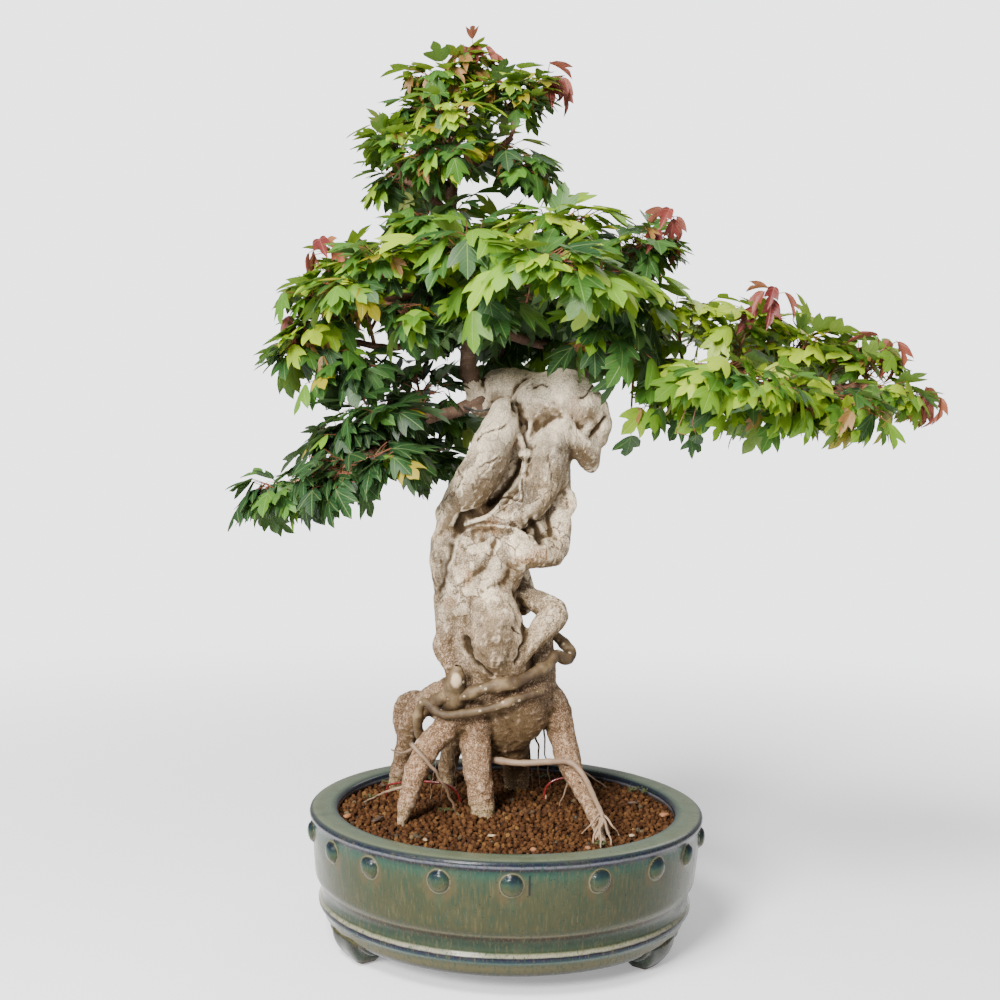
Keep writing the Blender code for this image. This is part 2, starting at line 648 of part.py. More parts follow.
def leaves_along(space, name, route, draw, most, kind):
    """Leaves in opposite pairs back from a twig's tip, and one at the tip."""
    leaves = []
    total = sum((Vector(b[:3]) - Vector(a[:3])).length for a, b in zip(route, route[1:])) * mm
    feet = [(tip_leaf_back, 0, 0)]
    back = first_pair_back
    while back < leafy_share * total and len(feet) < most:
        # Every second pair is turned round the twig from the one before it
        roll = math.radians(draw.uniform(-25, 25) + (0 if len(feet) % 4 == 1 else 40))
        feet += [(back, 1, roll), (back + pair_offset, -1, roll)]
        back += kind["spacing"]
    for back, hand, roll in feet:
        foot, way = along(route, 1 - back / total)
        arm = Matrix.Rotation(roll, 3, way) @ way.cross(up).normalized() * hand
        outward = (foot - canopy_middle).normalized()
        for _ in range(6):
            lean = Vector([draw.uniform(-0.25, 0.25) for _ in range(3)])
            aim = 0.55 * way + 0.85 * arm + lean - kind["droop"] * up
            normal = 0.8 * up + 0.45 * outward + 1.4 * lean
            leaf = try_leaf(space, name, foot, aim, normal, draw.uniform(*kind["lengths"]),
                            draw.uniform(*stalk_length_range), draw.uniform(*leaf_arch_range))
            if leaf:
                leaves.append(leaf)
                break
    return leaves


def mesh_parts(obj):
    """The object's points in the world, and its faces."""
    points = [obj.matrix_world @ point.co for point in obj.data.vertices]
    return points, [list(face.vertices) for face in obj.data.polygons]


def stem_of(routes):
    """A spray's twigs as one mesh, or None where they don't join cleanly."""
    stems = [tubes("stem", [route], bpy.context.scene.collection, 4, smooth=False) for route in routes]
    stem = join_by_boolean(stems[0], stems[1:], "UNION") if len(stems) > 1 else stems[0]
    if is_one_body(stem.data):
        return stem
    bpy.data.objects.remove(stem)
    return None


def twig_is_clear(space, route, skip=()):
    wider = [(x, y, z, radius + touching_gap / mm) for x, y, z, radius in route]
    fat = tubes("test", [wider], bpy.context.scene.collection, 4, smooth=False)
    points, faces = mesh_parts(fat)
    bpy.data.objects.remove(fat)
    return space.is_clear(points, faces, skip)


def clear_route(space, start, end, seed):
    """A twig's route, begun as near its branch as it stands clear of it."""
    way = (end - start).normalized()
    for step in range(60):
        route = twig_route(start + way * step * twig_start_step, end, random.Random(seed))
        if twig_is_clear(space, route):
            return route
    raise ValueError(f"no clear way from {start} to {end}")


def forked_route(space, main, end, seed, name):
    """A side twig's route, from the first place on the main twig where it is clear of other pieces."""
    for share in fork_shares:
        fork, _ = along(main, share)
        route = twig_route(fork, end, random.Random(seed))
        if twig_is_clear(space, route, skip=(name,)):
            stem = stem_of([main, route])
            if stem:
                bpy.data.objects.remove(stem)
                return route
    raise ValueError(f"no clear fork in {name}")


def grow(collection, space, name, routes, seed, material, kind):
    """Leaves of a kind along a spray's twigs, joined to them."""
    draw = random.Random(seed)
    leaves = []
    for number, route in enumerate(routes):
        most = most_side_leaves if number else most_main_leaves
        leaves += leaves_along(space, name, route, draw, most, kind)
    stem = stem_of(routes)
    stem.name = name
    spray = join_by_boolean(stem, leaves, "UNION", may_drop=True)
    bpy.context.scene.collection.objects.unlink(spray)
    collection.objects.link(spray)
    spray.data.materials.clear()
    spray.data.materials.append(material)
    print(name, len(leaves), "leaves")


def make_sprays(collection, space, leaf_material, red_material):
    """Twigs first, so that the leaves can keep clear of all of them."""
    limbs = {**thick_limbs, **thin_limbs}
    green = {}
    for seed, (name, (branch, share, tips)) in enumerate(sprays.items()):
        node = "spray_" + name
        start, _ = along(limbs[branch], share)
        routes = [clear_route(space, start, Vector(tips[0]) * mm, seed)]
        for tip in tips[1:]:
            routes.append(forked_route(space, routes[0], Vector(tip) * mm, seed, node))
        green[node] = routes
        stem = stem_of(routes)
        space.add(*mesh_parts(stem), node)
        bpy.data.objects.remove(stem)
    red = {}
    for seed, (name, (spray, tip_number, end)) in enumerate(red_shoots.items()):
        start = Vector(green["spray_" + spray][tip_number][-1][:3]) * mm
        red["red_shoot_" + name] = [clear_route(space, start, Vector(end) * mm, seed)]
        stem = stem_of(red["red_shoot_" + name])
        space.add(*mesh_parts(stem), "red_shoot_" + name)
        bpy.data.objects.remove(stem)
    for seed, (name, routes) in enumerate(red.items()):
        grow(collection, space, name, routes, seed, red_material, red_leaves)
    for seed, (name, routes) in enumerate(green.items()):
        grow(collection, space, name, routes, seed, leaf_material, green_leaves)


def make_wire(name, route, collection):
    points = [(x, y, z, wire_radius / mm) for x, y, z in route]
    return tubes(name, [points], collection, 6, smooth=False)


def wire_cutters(route):
    """A plain hole for each end of a tie wire."""
    cutters = []
    for x, y, z in (route[0], route[-1]):
        bottom = (x, y, z - wire_hole_deeper, wire_hole_radius)
        top = (x, y, z + wire_hole_length, wire_hole_radius)
        cutters.append(tubes("hole", [[bottom, top]], bpy.context.scene.collection, 6, smooth=False))
    return cutters


def make_screen(collection):
    """The drain screen, a thin disc that lies on the pot's floor over its hole."""
    mesh = bpy.data.meshes.new("drain_screen")
    work = bmesh.new()
    bmesh.ops.create_cone(work, cap_ends=True, segments=20, radius1=screen_radius,
                          radius2=screen_radius, depth=screen_thickness)
    middle_height = floor_top + screen_thickness / 2 + touching_gap / 2
    bmesh.ops.translate(work, verts=work.verts, vec=(0, 0, middle_height))
    work.to_mesh(mesh)
    work.free()
    return new_object("drain_screen", mesh, collection)


def centre_footprint(collection):
    """Hangs every part on one empty, moved so that the middle of the whole footprint is the origin."""
    bpy.context.view_layer.update()
    corners = [part.matrix_world @ Vector(corner)
               for part in collection.objects for corner in part.bound_box]
    middle = [(min(corner[axis] for corner in corners) + max(corner[axis] for corner in corners)) / 2
              for axis in range(2)]
    bonsai = bpy.data.objects.new("bonsai", None)
    for part in list(collection.objects):
        part.parent = bonsai
    collection.objects.link(bonsai)
    bonsai.location = (-middle[0], -middle[1], 0)


def main():
    clear_scene()
    parts = new_collection("Trident maple bonsai")
    root_ends = [route for route in thick_limbs.values() if route[-1][2] * mm == root_depth_height]
    cutters = [root_cutter(route) for route in root_ends]
    for route in tie_wires.values():
        cutters += wire_cutters(route)
    solids = {
        make_pot(parts): new_material("Glazed ceramic", (0.24, 0.27, 0.16), 0.25),
        make_soil(parts, cutters): new_material("Soil", (0.17, 0.075, 0.035), 0.9),
        make_trunk(parts): new_material("Bark", (0.42, 0.33, 0.23), 0.8),
        make_screen(parts): new_material("Screen", (0.05, 0.05, 0.05), 0.5),
    }
    wire_paint = new_material("Wire", (0.35, 0.08, 0.06), 0.4)
    for name, route in tie_wires.items():
        solids[make_wire(name, route, parts)] = wire_paint
    space = Space()
    for solid, material in solids.items():
        solid.data.materials.clear()
        solid.data.materials.append(material)
        space.add(*mesh_parts(solid), solid.name)
    make_sprays(parts, space, new_material("Leaf", (0.12, 0.24, 0.04), 0.45),
                new_material("Young leaf", (0.28, 0.08, 0.05), 0.45))
    for part in parts.objects:
        part.data.shade_smooth()
        part.data.set_sharp_from_angle(angle=math.radians(40))
    centre_footprint(parts)


main()
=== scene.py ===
from functools import reduce
import json
import math
import operator
import random

import bmesh
import bpy
from mathutils import Matrix, Vector, noise
from mathutils.bvhtree import BVHTree
import numpy as np

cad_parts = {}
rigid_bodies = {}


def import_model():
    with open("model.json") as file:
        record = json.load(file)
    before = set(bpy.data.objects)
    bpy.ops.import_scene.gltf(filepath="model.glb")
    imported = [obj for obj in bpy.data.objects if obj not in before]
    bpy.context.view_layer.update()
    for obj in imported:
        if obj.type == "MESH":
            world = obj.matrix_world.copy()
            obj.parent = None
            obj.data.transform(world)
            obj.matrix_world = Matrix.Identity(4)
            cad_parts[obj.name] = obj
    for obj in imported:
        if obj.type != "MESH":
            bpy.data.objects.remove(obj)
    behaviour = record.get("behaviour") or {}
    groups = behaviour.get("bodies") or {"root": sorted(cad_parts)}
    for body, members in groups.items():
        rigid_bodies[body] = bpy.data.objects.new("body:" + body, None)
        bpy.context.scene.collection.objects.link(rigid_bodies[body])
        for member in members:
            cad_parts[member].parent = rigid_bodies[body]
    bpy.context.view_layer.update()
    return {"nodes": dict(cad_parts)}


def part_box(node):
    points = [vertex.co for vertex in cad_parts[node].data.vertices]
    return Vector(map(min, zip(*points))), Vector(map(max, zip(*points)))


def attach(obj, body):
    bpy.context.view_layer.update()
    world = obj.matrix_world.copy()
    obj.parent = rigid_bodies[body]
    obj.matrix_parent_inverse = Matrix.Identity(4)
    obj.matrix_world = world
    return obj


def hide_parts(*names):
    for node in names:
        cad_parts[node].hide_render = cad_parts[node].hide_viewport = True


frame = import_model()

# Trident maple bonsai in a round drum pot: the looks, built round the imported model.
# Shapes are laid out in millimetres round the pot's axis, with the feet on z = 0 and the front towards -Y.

mm = 0.001
up = Vector((0, 0, 1))
screenLow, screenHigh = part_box("drain_screen")
potAxis = Vector(((screenLow.x + screenHigh.x) / 2, (screenLow.y + screenHigh.y) / 2, 0))
scene = bpy.context.scene


def newMesh(name, points, faces):
    mesh = bpy.data.meshes.new(name)
    mesh.from_pydata([tuple(point) for point in points], [], faces)
    mesh.polygons.foreach_set("use_smooth", [True] * len(mesh.polygons))
    mesh.update()
    return mesh


def meshOf(name, points, faces):
    return newMesh(name, np.asarray(points, float) * mm + np.array(potAxis), faces)


def setValues(mesh, name, values):
    layer = mesh.attributes.new(name, "FLOAT", "POINT")
    layer.data.foreach_set("value", np.asarray(values, np.float32).ravel())


def linked(name, mesh):
    obj = bpy.data.objects.new(name, mesh)
    scene.collection.objects.link(obj)
    return obj


def addPiece(name, mesh, materials=(), replaced=()):
    obj = linked(name, mesh)
    for material in materials:
        mesh.materials.append(material)
    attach(obj, "root")
    if replaced:
        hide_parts(*replaced)


def evaluatedMesh(obj):
    bpy.context.view_layer.update()
    graph = bpy.context.evaluated_depsgraph_get()
    return bpy.data.meshes.new_from_object(obj.evaluated_get(graph))


def gridFaces(rows, columns, closedRows=False, closedColumns=True, start=0):
    faces = []
    for row in range(rows if closedRows else rows - 1):
        nextRow = (row + 1) % rows
        for column in range(columns if closedColumns else columns - 1):
            nextColumn = (column + 1) % columns
            faces.append((start + row * columns + column, start + nextRow * columns + column,
                          start + nextRow * columns + nextColumn, start + row * columns + nextColumn))
    return faces


def facedOut(points, faces):
    # Turns all faces round where a closed shape is inside out
    points = np.asarray(points, float)
    middle = points.mean(axis=0)
    total = 0
    for face in faces:
        a, b, c = points[face[0]] - middle, points[face[1]] - middle, points[face[2]] - middle
        total += np.dot(a, np.cross(b, c))
        if len(face) == 4:
            d = points[face[3]] - middle
            total += np.dot(a, np.cross(c, d))
    return faces if total > 0 else [tuple(reversed(face)) for face in faces]


class Heap:
    # Shapes gathered into one mesh, with a value of each kind for every point
    def __init__(self):
        self.points = []
        self.faces = []
        self.values = {}
        self.count = 0

    def add(self, points, faces, **values):
        points = np.asarray(points, float)
        self.points.append(points)
        self.faces += [tuple(self.count + corner for corner in face) for face in faces]
        for name, value in values.items():
            column = np.full(len(points), value, float) if np.isscalar(value) else np.asarray(value, float)
            self.values.setdefault(name, []).append((self.count, column))
        self.count += len(points)

    def mesh(self, name):
        mesh = meshOf(name, np.concatenate(self.points), self.faces)
        for key, columns in self.values.items():
            whole = np.zeros(self.count)
            for start, column in columns:
                whole[start:start + len(column)] = column
            setValues(mesh, key, whole)
        return mesh


def evenPath(route, spacing):
    # A smooth curve through a route's points and radii, at even steps
    route = np.asarray(route, float)
    ends = np.concatenate([[2 * route[0] - route[1]], route, [2 * route[-1] - route[-2]]])
    fine = []
    for number in range(1, len(ends) - 2):
        before, here, there, after = ends[number - 1:number + 3]
        for share in np.linspace(0, 1, 12, endpoint=False):
            slopeHere = (there - before) / 2
            slopeThere = (after - here) / 2
            t2, t3 = share ** 2, share ** 3
            fine.append((2 * t3 - 3 * t2 + 1) * here + (t3 - 2 * t2 + share) * slopeHere
                        + (3 * t2 - 2 * t3) * there + (t3 - t2) * slopeThere)
    fine.append(route[-1])
    fine = np.array(fine)
    lengths = np.concatenate([[0], np.cumsum(np.linalg.norm(np.diff(fine[:, :3], axis=0), axis=1))])
    steps = max(2, int(round(lengths[-1] / spacing)))
    wanted = np.linspace(0, lengths[-1], steps + 1)
    return np.column_stack([np.interp(wanted, lengths, fine[:, axis]) for axis in range(4)]), wanted


def sweep(route, sides, spacing, swell=None):
    # A tube along a route, closed at both ends. Gives its points, faces and each point's way along
    path, ways = evenPath(route, spacing)
    middles = path[:, :3]
    radii = np.maximum(path[:, 3], 0.05)
    if swell is not None:
        radii = radii * swell(ways)
    tangents = np.gradient(middles, axis=0)
    tangents /= np.linalg.norm(tangents, axis=1)[:, None] + 1e-9
    start = np.array((0, 0, 1.0)) if abs(tangents[0][2]) < 0.9 else np.array((1.0, 0, 0))
    side = np.cross(tangents[0], start)
    side /= np.linalg.norm(side)
    points, along = [], []
    turns = np.linspace(0, 2 * math.pi, sides, endpoint=False)
    for middle, tangent, radius, way in zip(middles, tangents, radii, ways):
        side = side - tangent * np.dot(side, tangent)
        side /= np.linalg.norm(side) + 1e-9
        other = np.cross(tangent, side)
        for turn in turns:
            points.append(middle + radius * (math.cos(turn) * side + math.sin(turn) * other))
            along.append(way)
    faces = gridFaces(len(middles), sides)
    bulge = 0.6
    for end, tangent, flip in ((0, -tangents[0], False), (len(middles) - 1, tangents[-1], True)):
        pole = len(points)
        points.append(middles[end] + bulge * radii[end] * tangent)
        along.append(ways[end])
        for number in range(sides):
            corner, following = end * sides + number, end * sides + (number + 1) % sides
            faces.append((corner, following, pole) if flip else (following, corner, pole))
    points = np.array(points)
    return points, facedOut(points, faces), np.array(along)


class Value:
    # A node's output that is reckoned with as a number is
    def __init__(self, tree, socket):
        self.tree, self.socket = tree, socket

    def math(self, operation, first, second=0.0):
        return made(self.tree, "ShaderNodeMath", 0, {0: first, 1: second}, operation=operation)

    def __add__(self, other):
        return self.math("ADD", self, other)

    def __sub__(self, other):
        return self.math("SUBTRACT", self, other)

    def __rsub__(self, other):
        return self.math("SUBTRACT", other, self)

    def __mul__(self, other):
        return self.math("MULTIPLY", self, other)

    def __abs__(self):
        return self.math("ABSOLUTE", self)

    def root(self):
        return self.math("SQRT", self)

    def atLeast(self, other):
        return self.math("MAXIMUM", self, other)

    def isBelow(self, other):
        return self.math("LESS_THAN", self, other)


def plug(value, socket):
    # A link, or a fixed value where no node makes it
    if isinstance(value, Value):
        value.tree.links.new(value.socket, socket)
    elif socket.type == "RGBA" and len(value) == 3:
        socket.default_value = (*value, 1)
    else:
        socket.default_value = value


def addNode(tree, kind, inputs, **settings):
    node = tree.nodes.new(kind)
    for key, value in settings.items():
        setattr(node, key, value)
    for socket, value in inputs.items():
        plug(value, node.inputs[socket])
    return node


def made(tree, kind, output, inputs={}, **settings):
    # One output of a new node
    return Value(tree, addNode(tree, kind, inputs, **settings).outputs[output])


def between(value, low, high, atLow=0.0, atHigh=1.0):
    # A smooth step of a value from one range to another
    return made(value.tree, "ShaderNodeMapRange", "Result", {
        "Value": value, "From Min": low, "From Max": high, "To Min": atLow, "To Max": atHigh},
        interpolation_type="SMOOTHSTEP")


def blended(share, first, second):
    return made(share.tree, "ShaderNodeMix", 2, {0: share, 6: first, 7: second}, data_type="RGBA")


def ramp(value, stops):
    node = addNode(value.tree, "ShaderNodeValToRGB", {0: value})
    elements = node.color_ramp.elements
    while len(elements) < len(stops):
        elements.new(0.5)
    for element, (place, colour) in zip(elements, stops):
        element.position = place
        element.color = (*colour, 1)
    return Value(value.tree, node.outputs["Color"])


def objectPlace(tree, scale=(1, 1, 1)):
    place = made(tree, "ShaderNodeTexCoord", "Object")
    return made(tree, "ShaderNodeMapping", "Vector", {"Vector": place, "Scale": scale})


def partsOf(vector):
    # X, Y and Z of a vector
    outputs = addNode(vector.tree, "ShaderNodeSeparateXYZ", {0: vector}).outputs
    return [Value(vector.tree, output) for output in outputs]


def noiseOf(place, scale, detail=3.0, roughness=0.55, distortion=0.0, output="Fac"):
    return made(place.tree, "ShaderNodeTexNoise", output, {
        "Vector": place, "Scale": scale, "Detail": detail, "Roughness": roughness, "Distortion": distortion})


def cellsOf(place, scale, feature="F1", output="Distance"):
    return made(place.tree, "ShaderNodeTexVoronoi", output, {"Vector": place, "Scale": scale},
                feature=feature)


def newTree(name, kind, wanted, result):
    # A node tree with named inputs: gives it, its inputs and the socket for what it makes
    tree = bpy.data.node_groups.new(name, kind)
    for label, socketKind, *start in wanted:
        socket = tree.interface.new_socket(label, in_out="INPUT", socket_type="NodeSocket" + socketKind)
        if start:
            socket.default_value = start[0]
    tree.interface.new_socket(result[0], in_out="OUTPUT", socket_type="NodeSocket" + result[1])
    given = tree.nodes.new("NodeGroupInput").outputs
    return (tree, {label: Value(tree, given[label]) for label, *_ in wanted},
            tree.nodes.new("NodeGroupOutput").inputs[0])


def makeSpeckles():
    # Round spots of a size, thinned out by a share: puts out a mask
    tree, given, out = newTree("speckles", "ShaderNodeTree", [
        ("Vector", "Vector"), ("Scale", "Float", 400.0), ("Share", "Float", 0.3), ("Size", "Float", 0.25)],
        ("Mask", "Float"))
    cells = addNode(tree, "ShaderNodeTexVoronoi", {key: given[key] for key in ("Vector", "Scale")})
    spot = Value(tree, cells.outputs["Distance"]).isBelow(given["Size"])
    pick = made(tree, "ShaderNodeSeparateColor", 0, {0: Value(tree, cells.outputs["Color"])})
    plug(spot * pick.isBelow(given["Share"]), out)
    return tree


def makeFineGrain():
    # Two sizes of grain for bump heights and small changes of tone
    tree, given, out = newTree("fineGrain", "ShaderNodeTree", [
        ("Vector", "Vector"), ("Scale", "Float", 300.0), ("Mix", "Float", 0.5)], ("Height", "Float"))
    coarse = noiseOf(given["Vector"], given["Scale"], 4.0)
    finer = noiseOf(given["Vector"], given["Scale"] * 3.7, 2.0)
    plug(made(tree, "ShaderNodeMix", 0, {0: given["Mix"], 2: coarse, 3: finer}), out)
    return tree


speckles = makeSpeckles()
fineGrain = makeFineGrain()


def grainOf(place, scale, mix):
    return made(place.tree, "ShaderNodeGroup", 0, {"Vector": place, "Scale": scale, "Mix": mix},
                node_tree=fineGrain)


def specksOf(place, scale, share, size):
    return made(place.tree, "ShaderNodeGroup", 0, {
        "Vector": place, "Scale": scale, "Share": share, "Size": size}, node_tree=speckles)


def productOf(masks, reads):
    # Each read is a mask with a factor, or with a range and its values at the ends of that
    parts = [between(masks[key], *span) if len(span) > 1 else masks[key] * span[0] for key, *span in reads]
    return reduce(operator.mul, parts)


def makeMaterial(name, looks, special=None):
    # Masks first, then the colour: a ground and layers, each a shade and the reads that make its share.
    # Gives the material and its masks
    material = bpy.data.materials.new(name)
    material.use_nodes = True
    tree = material.node_tree
    shader = tree.nodes["Principled BSDF"].inputs
    for key, value in looks["fixed"].items():
        shader[key].default_value = value
    place = objectPlace(tree)
    masks = {key: made(tree, "ShaderNodeAttribute", "Fac", attribute_name=key)
             for key in looks.get("stored", ())}
    for kind, maker in (("noises", noiseOf), ("grains", grainOf), ("specks", specksOf)):
        for key, settings in looks.get(kind, {}).items():
            masks[key] = maker(place, *settings)
    if special:
        special(tree, place, masks)
    for key, reads in looks.get("products", {}).items():
        masks[key] = productOf(masks, reads)
    for key, (mask, first, second) in looks.get("shades", {}).items():
        masks[key] = blended(masks[mask], first, second)
    if "ground" in looks:
        mask, stops = looks["ground"]
        masks["colour"] = ramp(masks[mask], stops)
    for shade, *reads in looks.get("layers", ()):
        masks["colour"] = blended(productOf(masks, reads), masks["colour"], masks.get(shade, shade))
    plug(masks["colour"], shader["Base Color"])
    for socket in ("Roughness", "Coat Weight"):
        if socket in masks:
            plug(masks[socket], shader[socket])
    if "relief" in looks:
        distance, strength, weights = looks["relief"]
        height = reduce(operator.add, [masks[key] * weight for key, weight in weights.items()])
        plug(made(tree, "ShaderNodeBump", "Normal", {
            "Height": height, "Distance": distance, "Strength": strength}), shader["Normal"])
    return material, masks


def mixIn(material, share, other):
    # Another shader mixed with the material's own
    tree = material.node_tree
    own = Value(tree, tree.nodes["Principled BSDF"].outputs[0])
    mix = made(tree, "ShaderNodeMixShader", 0, {0: share, 1: own, 2: other})
    plug(mix, tree.nodes["Material Output"].inputs["Surface"])


stage = {
    "cameraPlace": (-10, -1180, 422), "cameraDown": 3.6, "cameraRoll": 1.2, "lens": 53.64, "sensor": 36,
    "floorRadius": 9.0, "floorDrop": 0.0004, "worldShade": (0.97, 0.975, 1.0),
    # The backdrop is brighter where it is looked at than the light that it sends
    "worldStrength": 0.5, "backdropStrength": 3.1,
    # The floor fades into that light between these distances
    "fade": (0.35, 1.6),
    # Place, size, power and colour
    "lamps": {
        "topLamp": ((-0.8, -1.25, 2.1), 0.8, 95, (1.0, 0.985, 0.955)),
        "frontLamp": ((-0.9, -1.9, 1.15), 0.6, 108, (1.0, 0.985, 0.955)),
        "leftLamp": ((-2.1, -1.5, 1.2), 1.2, 26, (0.97, 0.985, 1.0)),
        "backLamp": ((1.3, 1.9, 1.9), 1.3, 18, (1.0, 0.99, 0.97))},
    "lampAim": (0.0, 0.0, 0.35),
    "floor": {
        "fixed": {"Roughness": 0.75, "Emission Color": (0.97, 0.975, 1.0, 1), "Emission Strength": 0.35},
        "noises": {"patch": (2.0,)},
        "ground": ("patch", [(0, (0.80, 0.80, 0.81)), (1, (0.768, 0.768, 0.7776))])},
}


def seenStrength(tree):
    seen = made(tree, "ShaderNodeLightPath", "Is Camera Ray")
    return seen * (stage["backdropStrength"] - stage["worldStrength"]) + stage["worldStrength"]


def makeStage():
    data = bpy.data.cameras.new("camera")
    data.lens = stage["lens"]
    data.sensor_width = stage["sensor"]
    camera = linked("camera", data)
    turn = (Matrix.Rotation(math.pi / 2 - math.radians(stage["cameraDown"]), 4, "X")
            @ Matrix.Rotation(math.radians(stage["cameraRoll"]), 4, "Z"))
    camera.matrix_world = Matrix.Translation(potAxis + Vector(stage["cameraPlace"]) * mm) @ turn
    scene.camera = camera
    for name, (place, size, power, colour) in stage["lamps"].items():
        lamp = bpy.data.lights.new(name, "AREA")
        lamp.shape = "DISK"
        lamp.size = size
        lamp.energy = power
        lamp.color = colour
        aim = Vector(stage["lampAim"]) - Vector(place)
        turned = aim.to_track_quat("-Z", "Y").to_matrix().to_4x4()
        linked(name, lamp).matrix_world = Matrix.Translation(place) @ turned
    world = bpy.data.worlds.new("studio")
    scene.world = world
    world.use_nodes = True
    back = world.node_tree.nodes["Background"]
    plug(stage["worldShade"], back.inputs["Color"])
    plug(seenStrength(world.node_tree), back.inputs["Strength"])
    radius = stage["floorRadius"]
    ring = [(radius * math.cos(a), radius * math.sin(a), 0) for a in np.linspace(0, 2 * math.pi, 96)[:-1]]
    mesh = newMesh("floor", ring, [list(range(len(ring)))])
    floor = linked("floor", mesh)
    floor.location.z = -stage["floorDrop"]
    material = makeMaterial("paleFloor", stage["floor"])[0]
    tree = material.node_tree
    distance = made(tree, "ShaderNodeVectorMath", "Value", {0: objectPlace(tree)}, operation="LENGTH")
    glow = made(tree, "ShaderNodeEmission", 0, {"Color": stage["worldShade"], "Strength": seenStrength(tree)})
    mixIn(material, between(distance, *stage["fade"]), glow)
    mesh.materials.append(material)


makeStage()
print("stage set")


pot = {
    "steps": 640, "ringSpacing": 1.4, "wallRadius": 154, "wallFrom": (145, 60), "wallTop": 98.5,
    "studHeight": 86.5, "studRadius": 8.6, "studOut": 4.4, "noStud": 99,
    # The rim isn't quite level
    "outerFrom": 130, "rimLift": 0.25,
    # Studs, in degrees from the front: they aren't quite even
    "studAngles": (-79, -57.5, -40, -18, 1.5, 25.5, 45.5, 62, 81, 100, 120, 141, 161, 182, 203, 223, 243,
                   262),
    # Radius and height from the lip's inner edge out and down, then under and up inside
    "outer": [(134, 100.6), (134.5, 102.6), (136.4, 103.8), (141, 104.3), (150, 104.3), (154.4, 103.9),
              (156.6, 102.4), (157.2, 100.2), (156.7, 98.2), (155.3, 97), (154.9, 95.2), (154.3, 84),
              (153.2, 68), (151.9, 53), (151.2, 50.4), (149.7, 48.8), (148.6, 47.1), (149, 45.8),
              (148.5, 44.3), (147.1, 42.9), (146.5, 40.5), (146.5, 36.6), (147.2, 34), (148.8, 32.4),
              (149.3, 30.4), (148.6, 28.4), (146.6, 27), (145.6, 24.6), (144, 19.6), (140.6, 15.8),
              (137, 15)],
    "inside": [(80, 15), (14, 15), (14, 25), (80, 25), (132, 25), (144, 38), (144, 84), (136, 92.2),
               (134.2, 95)],
    "feet": (-58, 58, 180), "footWidth": 60, "footSteps": 56, "footTurn": 142,
    # Radius and height round a foot's cross-section
    "footSection": [(144.2, 21), (144.6, 17), (144, 12.5), (142.2, 8.2), (139.4, 4.2), (136.4, 1.2),
                    (134.4, 0), (124, 0), (121, 1.6), (119, 8), (118, 18)],
}


def potWobble(angle, height):
    # The slight unevenness of a hand-made pot, in millimetres
    return (0.35 * np.sin(2 * angle + 0.6) + 0.2 * np.sin(3 * angle + height / 25)
            + 0.1 * np.sin(8 * angle + height / 9 + 1.3))


def fineProfile(points, spacing):
    dense = [points[0]]
    for (r0, z0), (r1, z1) in zip(points, points[1:]):
        steps = max(1, int(math.hypot(r1 - r0, z1 - z0) / spacing + 0.5))
        dense += [(r0 + (r1 - r0) * n / steps, z0 + (z1 - z0) * n / steps) for n in range(1, steps + 1)]
    dense = np.array(dense)
    for _ in range(2):
        dense[1:-1] = 0.25 * dense[:-2] + 0.5 * dense[1:-1] + 0.25 * dense[2:]
    return dense


def studBump(share):
    # Height of a stud over the wall: a dome with a soft foot
    dome = np.sqrt(np.clip(1 - (share / 0.92) ** 2, 0, 1))
    foot = np.clip((1 - share) / 0.25, 0, 1)
    return 0.86 * dome + 0.14 * foot * foot * (3 - 2 * foot)


def makePotMesh():
    outer = fineProfile(pot["outer"], pot["ringSpacing"])
    profile = np.concatenate([outer, np.array(pot["inside"], float)])
    angles = np.linspace(-math.pi, math.pi, pot["steps"], endpoint=False)
    radius, angle = np.meshgrid(profile[:, 0], angles, indexing="ij")
    height = np.meshgrid(profile[:, 1], angles, indexing="ij")[0]
    onWall = (radius > pot["wallFrom"][0]) & (height > pot["wallFrom"][1])
    # Each point's place beside the nearest stud
    studAngles = np.radians((np.array(pot["studAngles"]) + 180) % 360 - 180)
    apart = (angle[..., None] - studAngles + math.pi) % (2 * math.pi) - math.pi
    nearest = np.take_along_axis(apart, np.abs(apart).argmin(axis=-1)[..., None], -1)[..., 0]
    studX = nearest * pot["wallRadius"]
    studZ = height - pot["studHeight"]
    share = np.hypot(studX, studZ) / pot["studRadius"]
    out = np.where(onWall & (height < pot["wallTop"]), studBump(share) * pot["studOut"], 0)
    wide = np.clip((radius - 14) / 100, 0, 1)
    shownRadius = radius + potWobble(angle, height) * wide + out
    tilt = pot["rimLift"] * np.sin(2 * angle + 1) * np.clip(height / 100, 0, 1)
    lift = np.where(radius > pot["outerFrom"], tilt, 0)
    points = np.stack([shownRadius * np.sin(angle), -shownRadius * np.cos(angle), height + lift], -1)
    points = points.reshape(-1, 3)
    inside = np.zeros_like(radius)
    inside[len(outer):] = 1
    heap = Heap()
    heap.add(points, facedOut(points, gridFaces(len(profile), pot["steps"], closedRows=True)),
             ringRadius=radius.ravel(), ringHeight=height.ravel(), bare=inside.ravel(),
             studX=np.where(onWall, studX, pot["noStud"]).ravel(), studZ=studZ.ravel())
    for degrees in pot["feet"]:
        points, faces = makeFoot(math.radians(degrees))
        heap.add(points, faces, ringRadius=np.hypot(points[:, 0], points[:, 1]), ringHeight=points[:, 2],
                 studX=pot["noStud"], studZ=pot["noStud"])
    return heap.mesh("pot")


def footDepth(share):
    # How far down a foot reaches across its width: a broad lobe with a small one at each side
    across = abs(share)
    main = math.sqrt(max(0, 1 - (across / 0.72) ** 6))
    side = 0.52 * math.sqrt(max(0, 1 - ((across - 0.78) / 0.22) ** 4))
    return max(main, side if across > 0.6 else 0, 0.04)


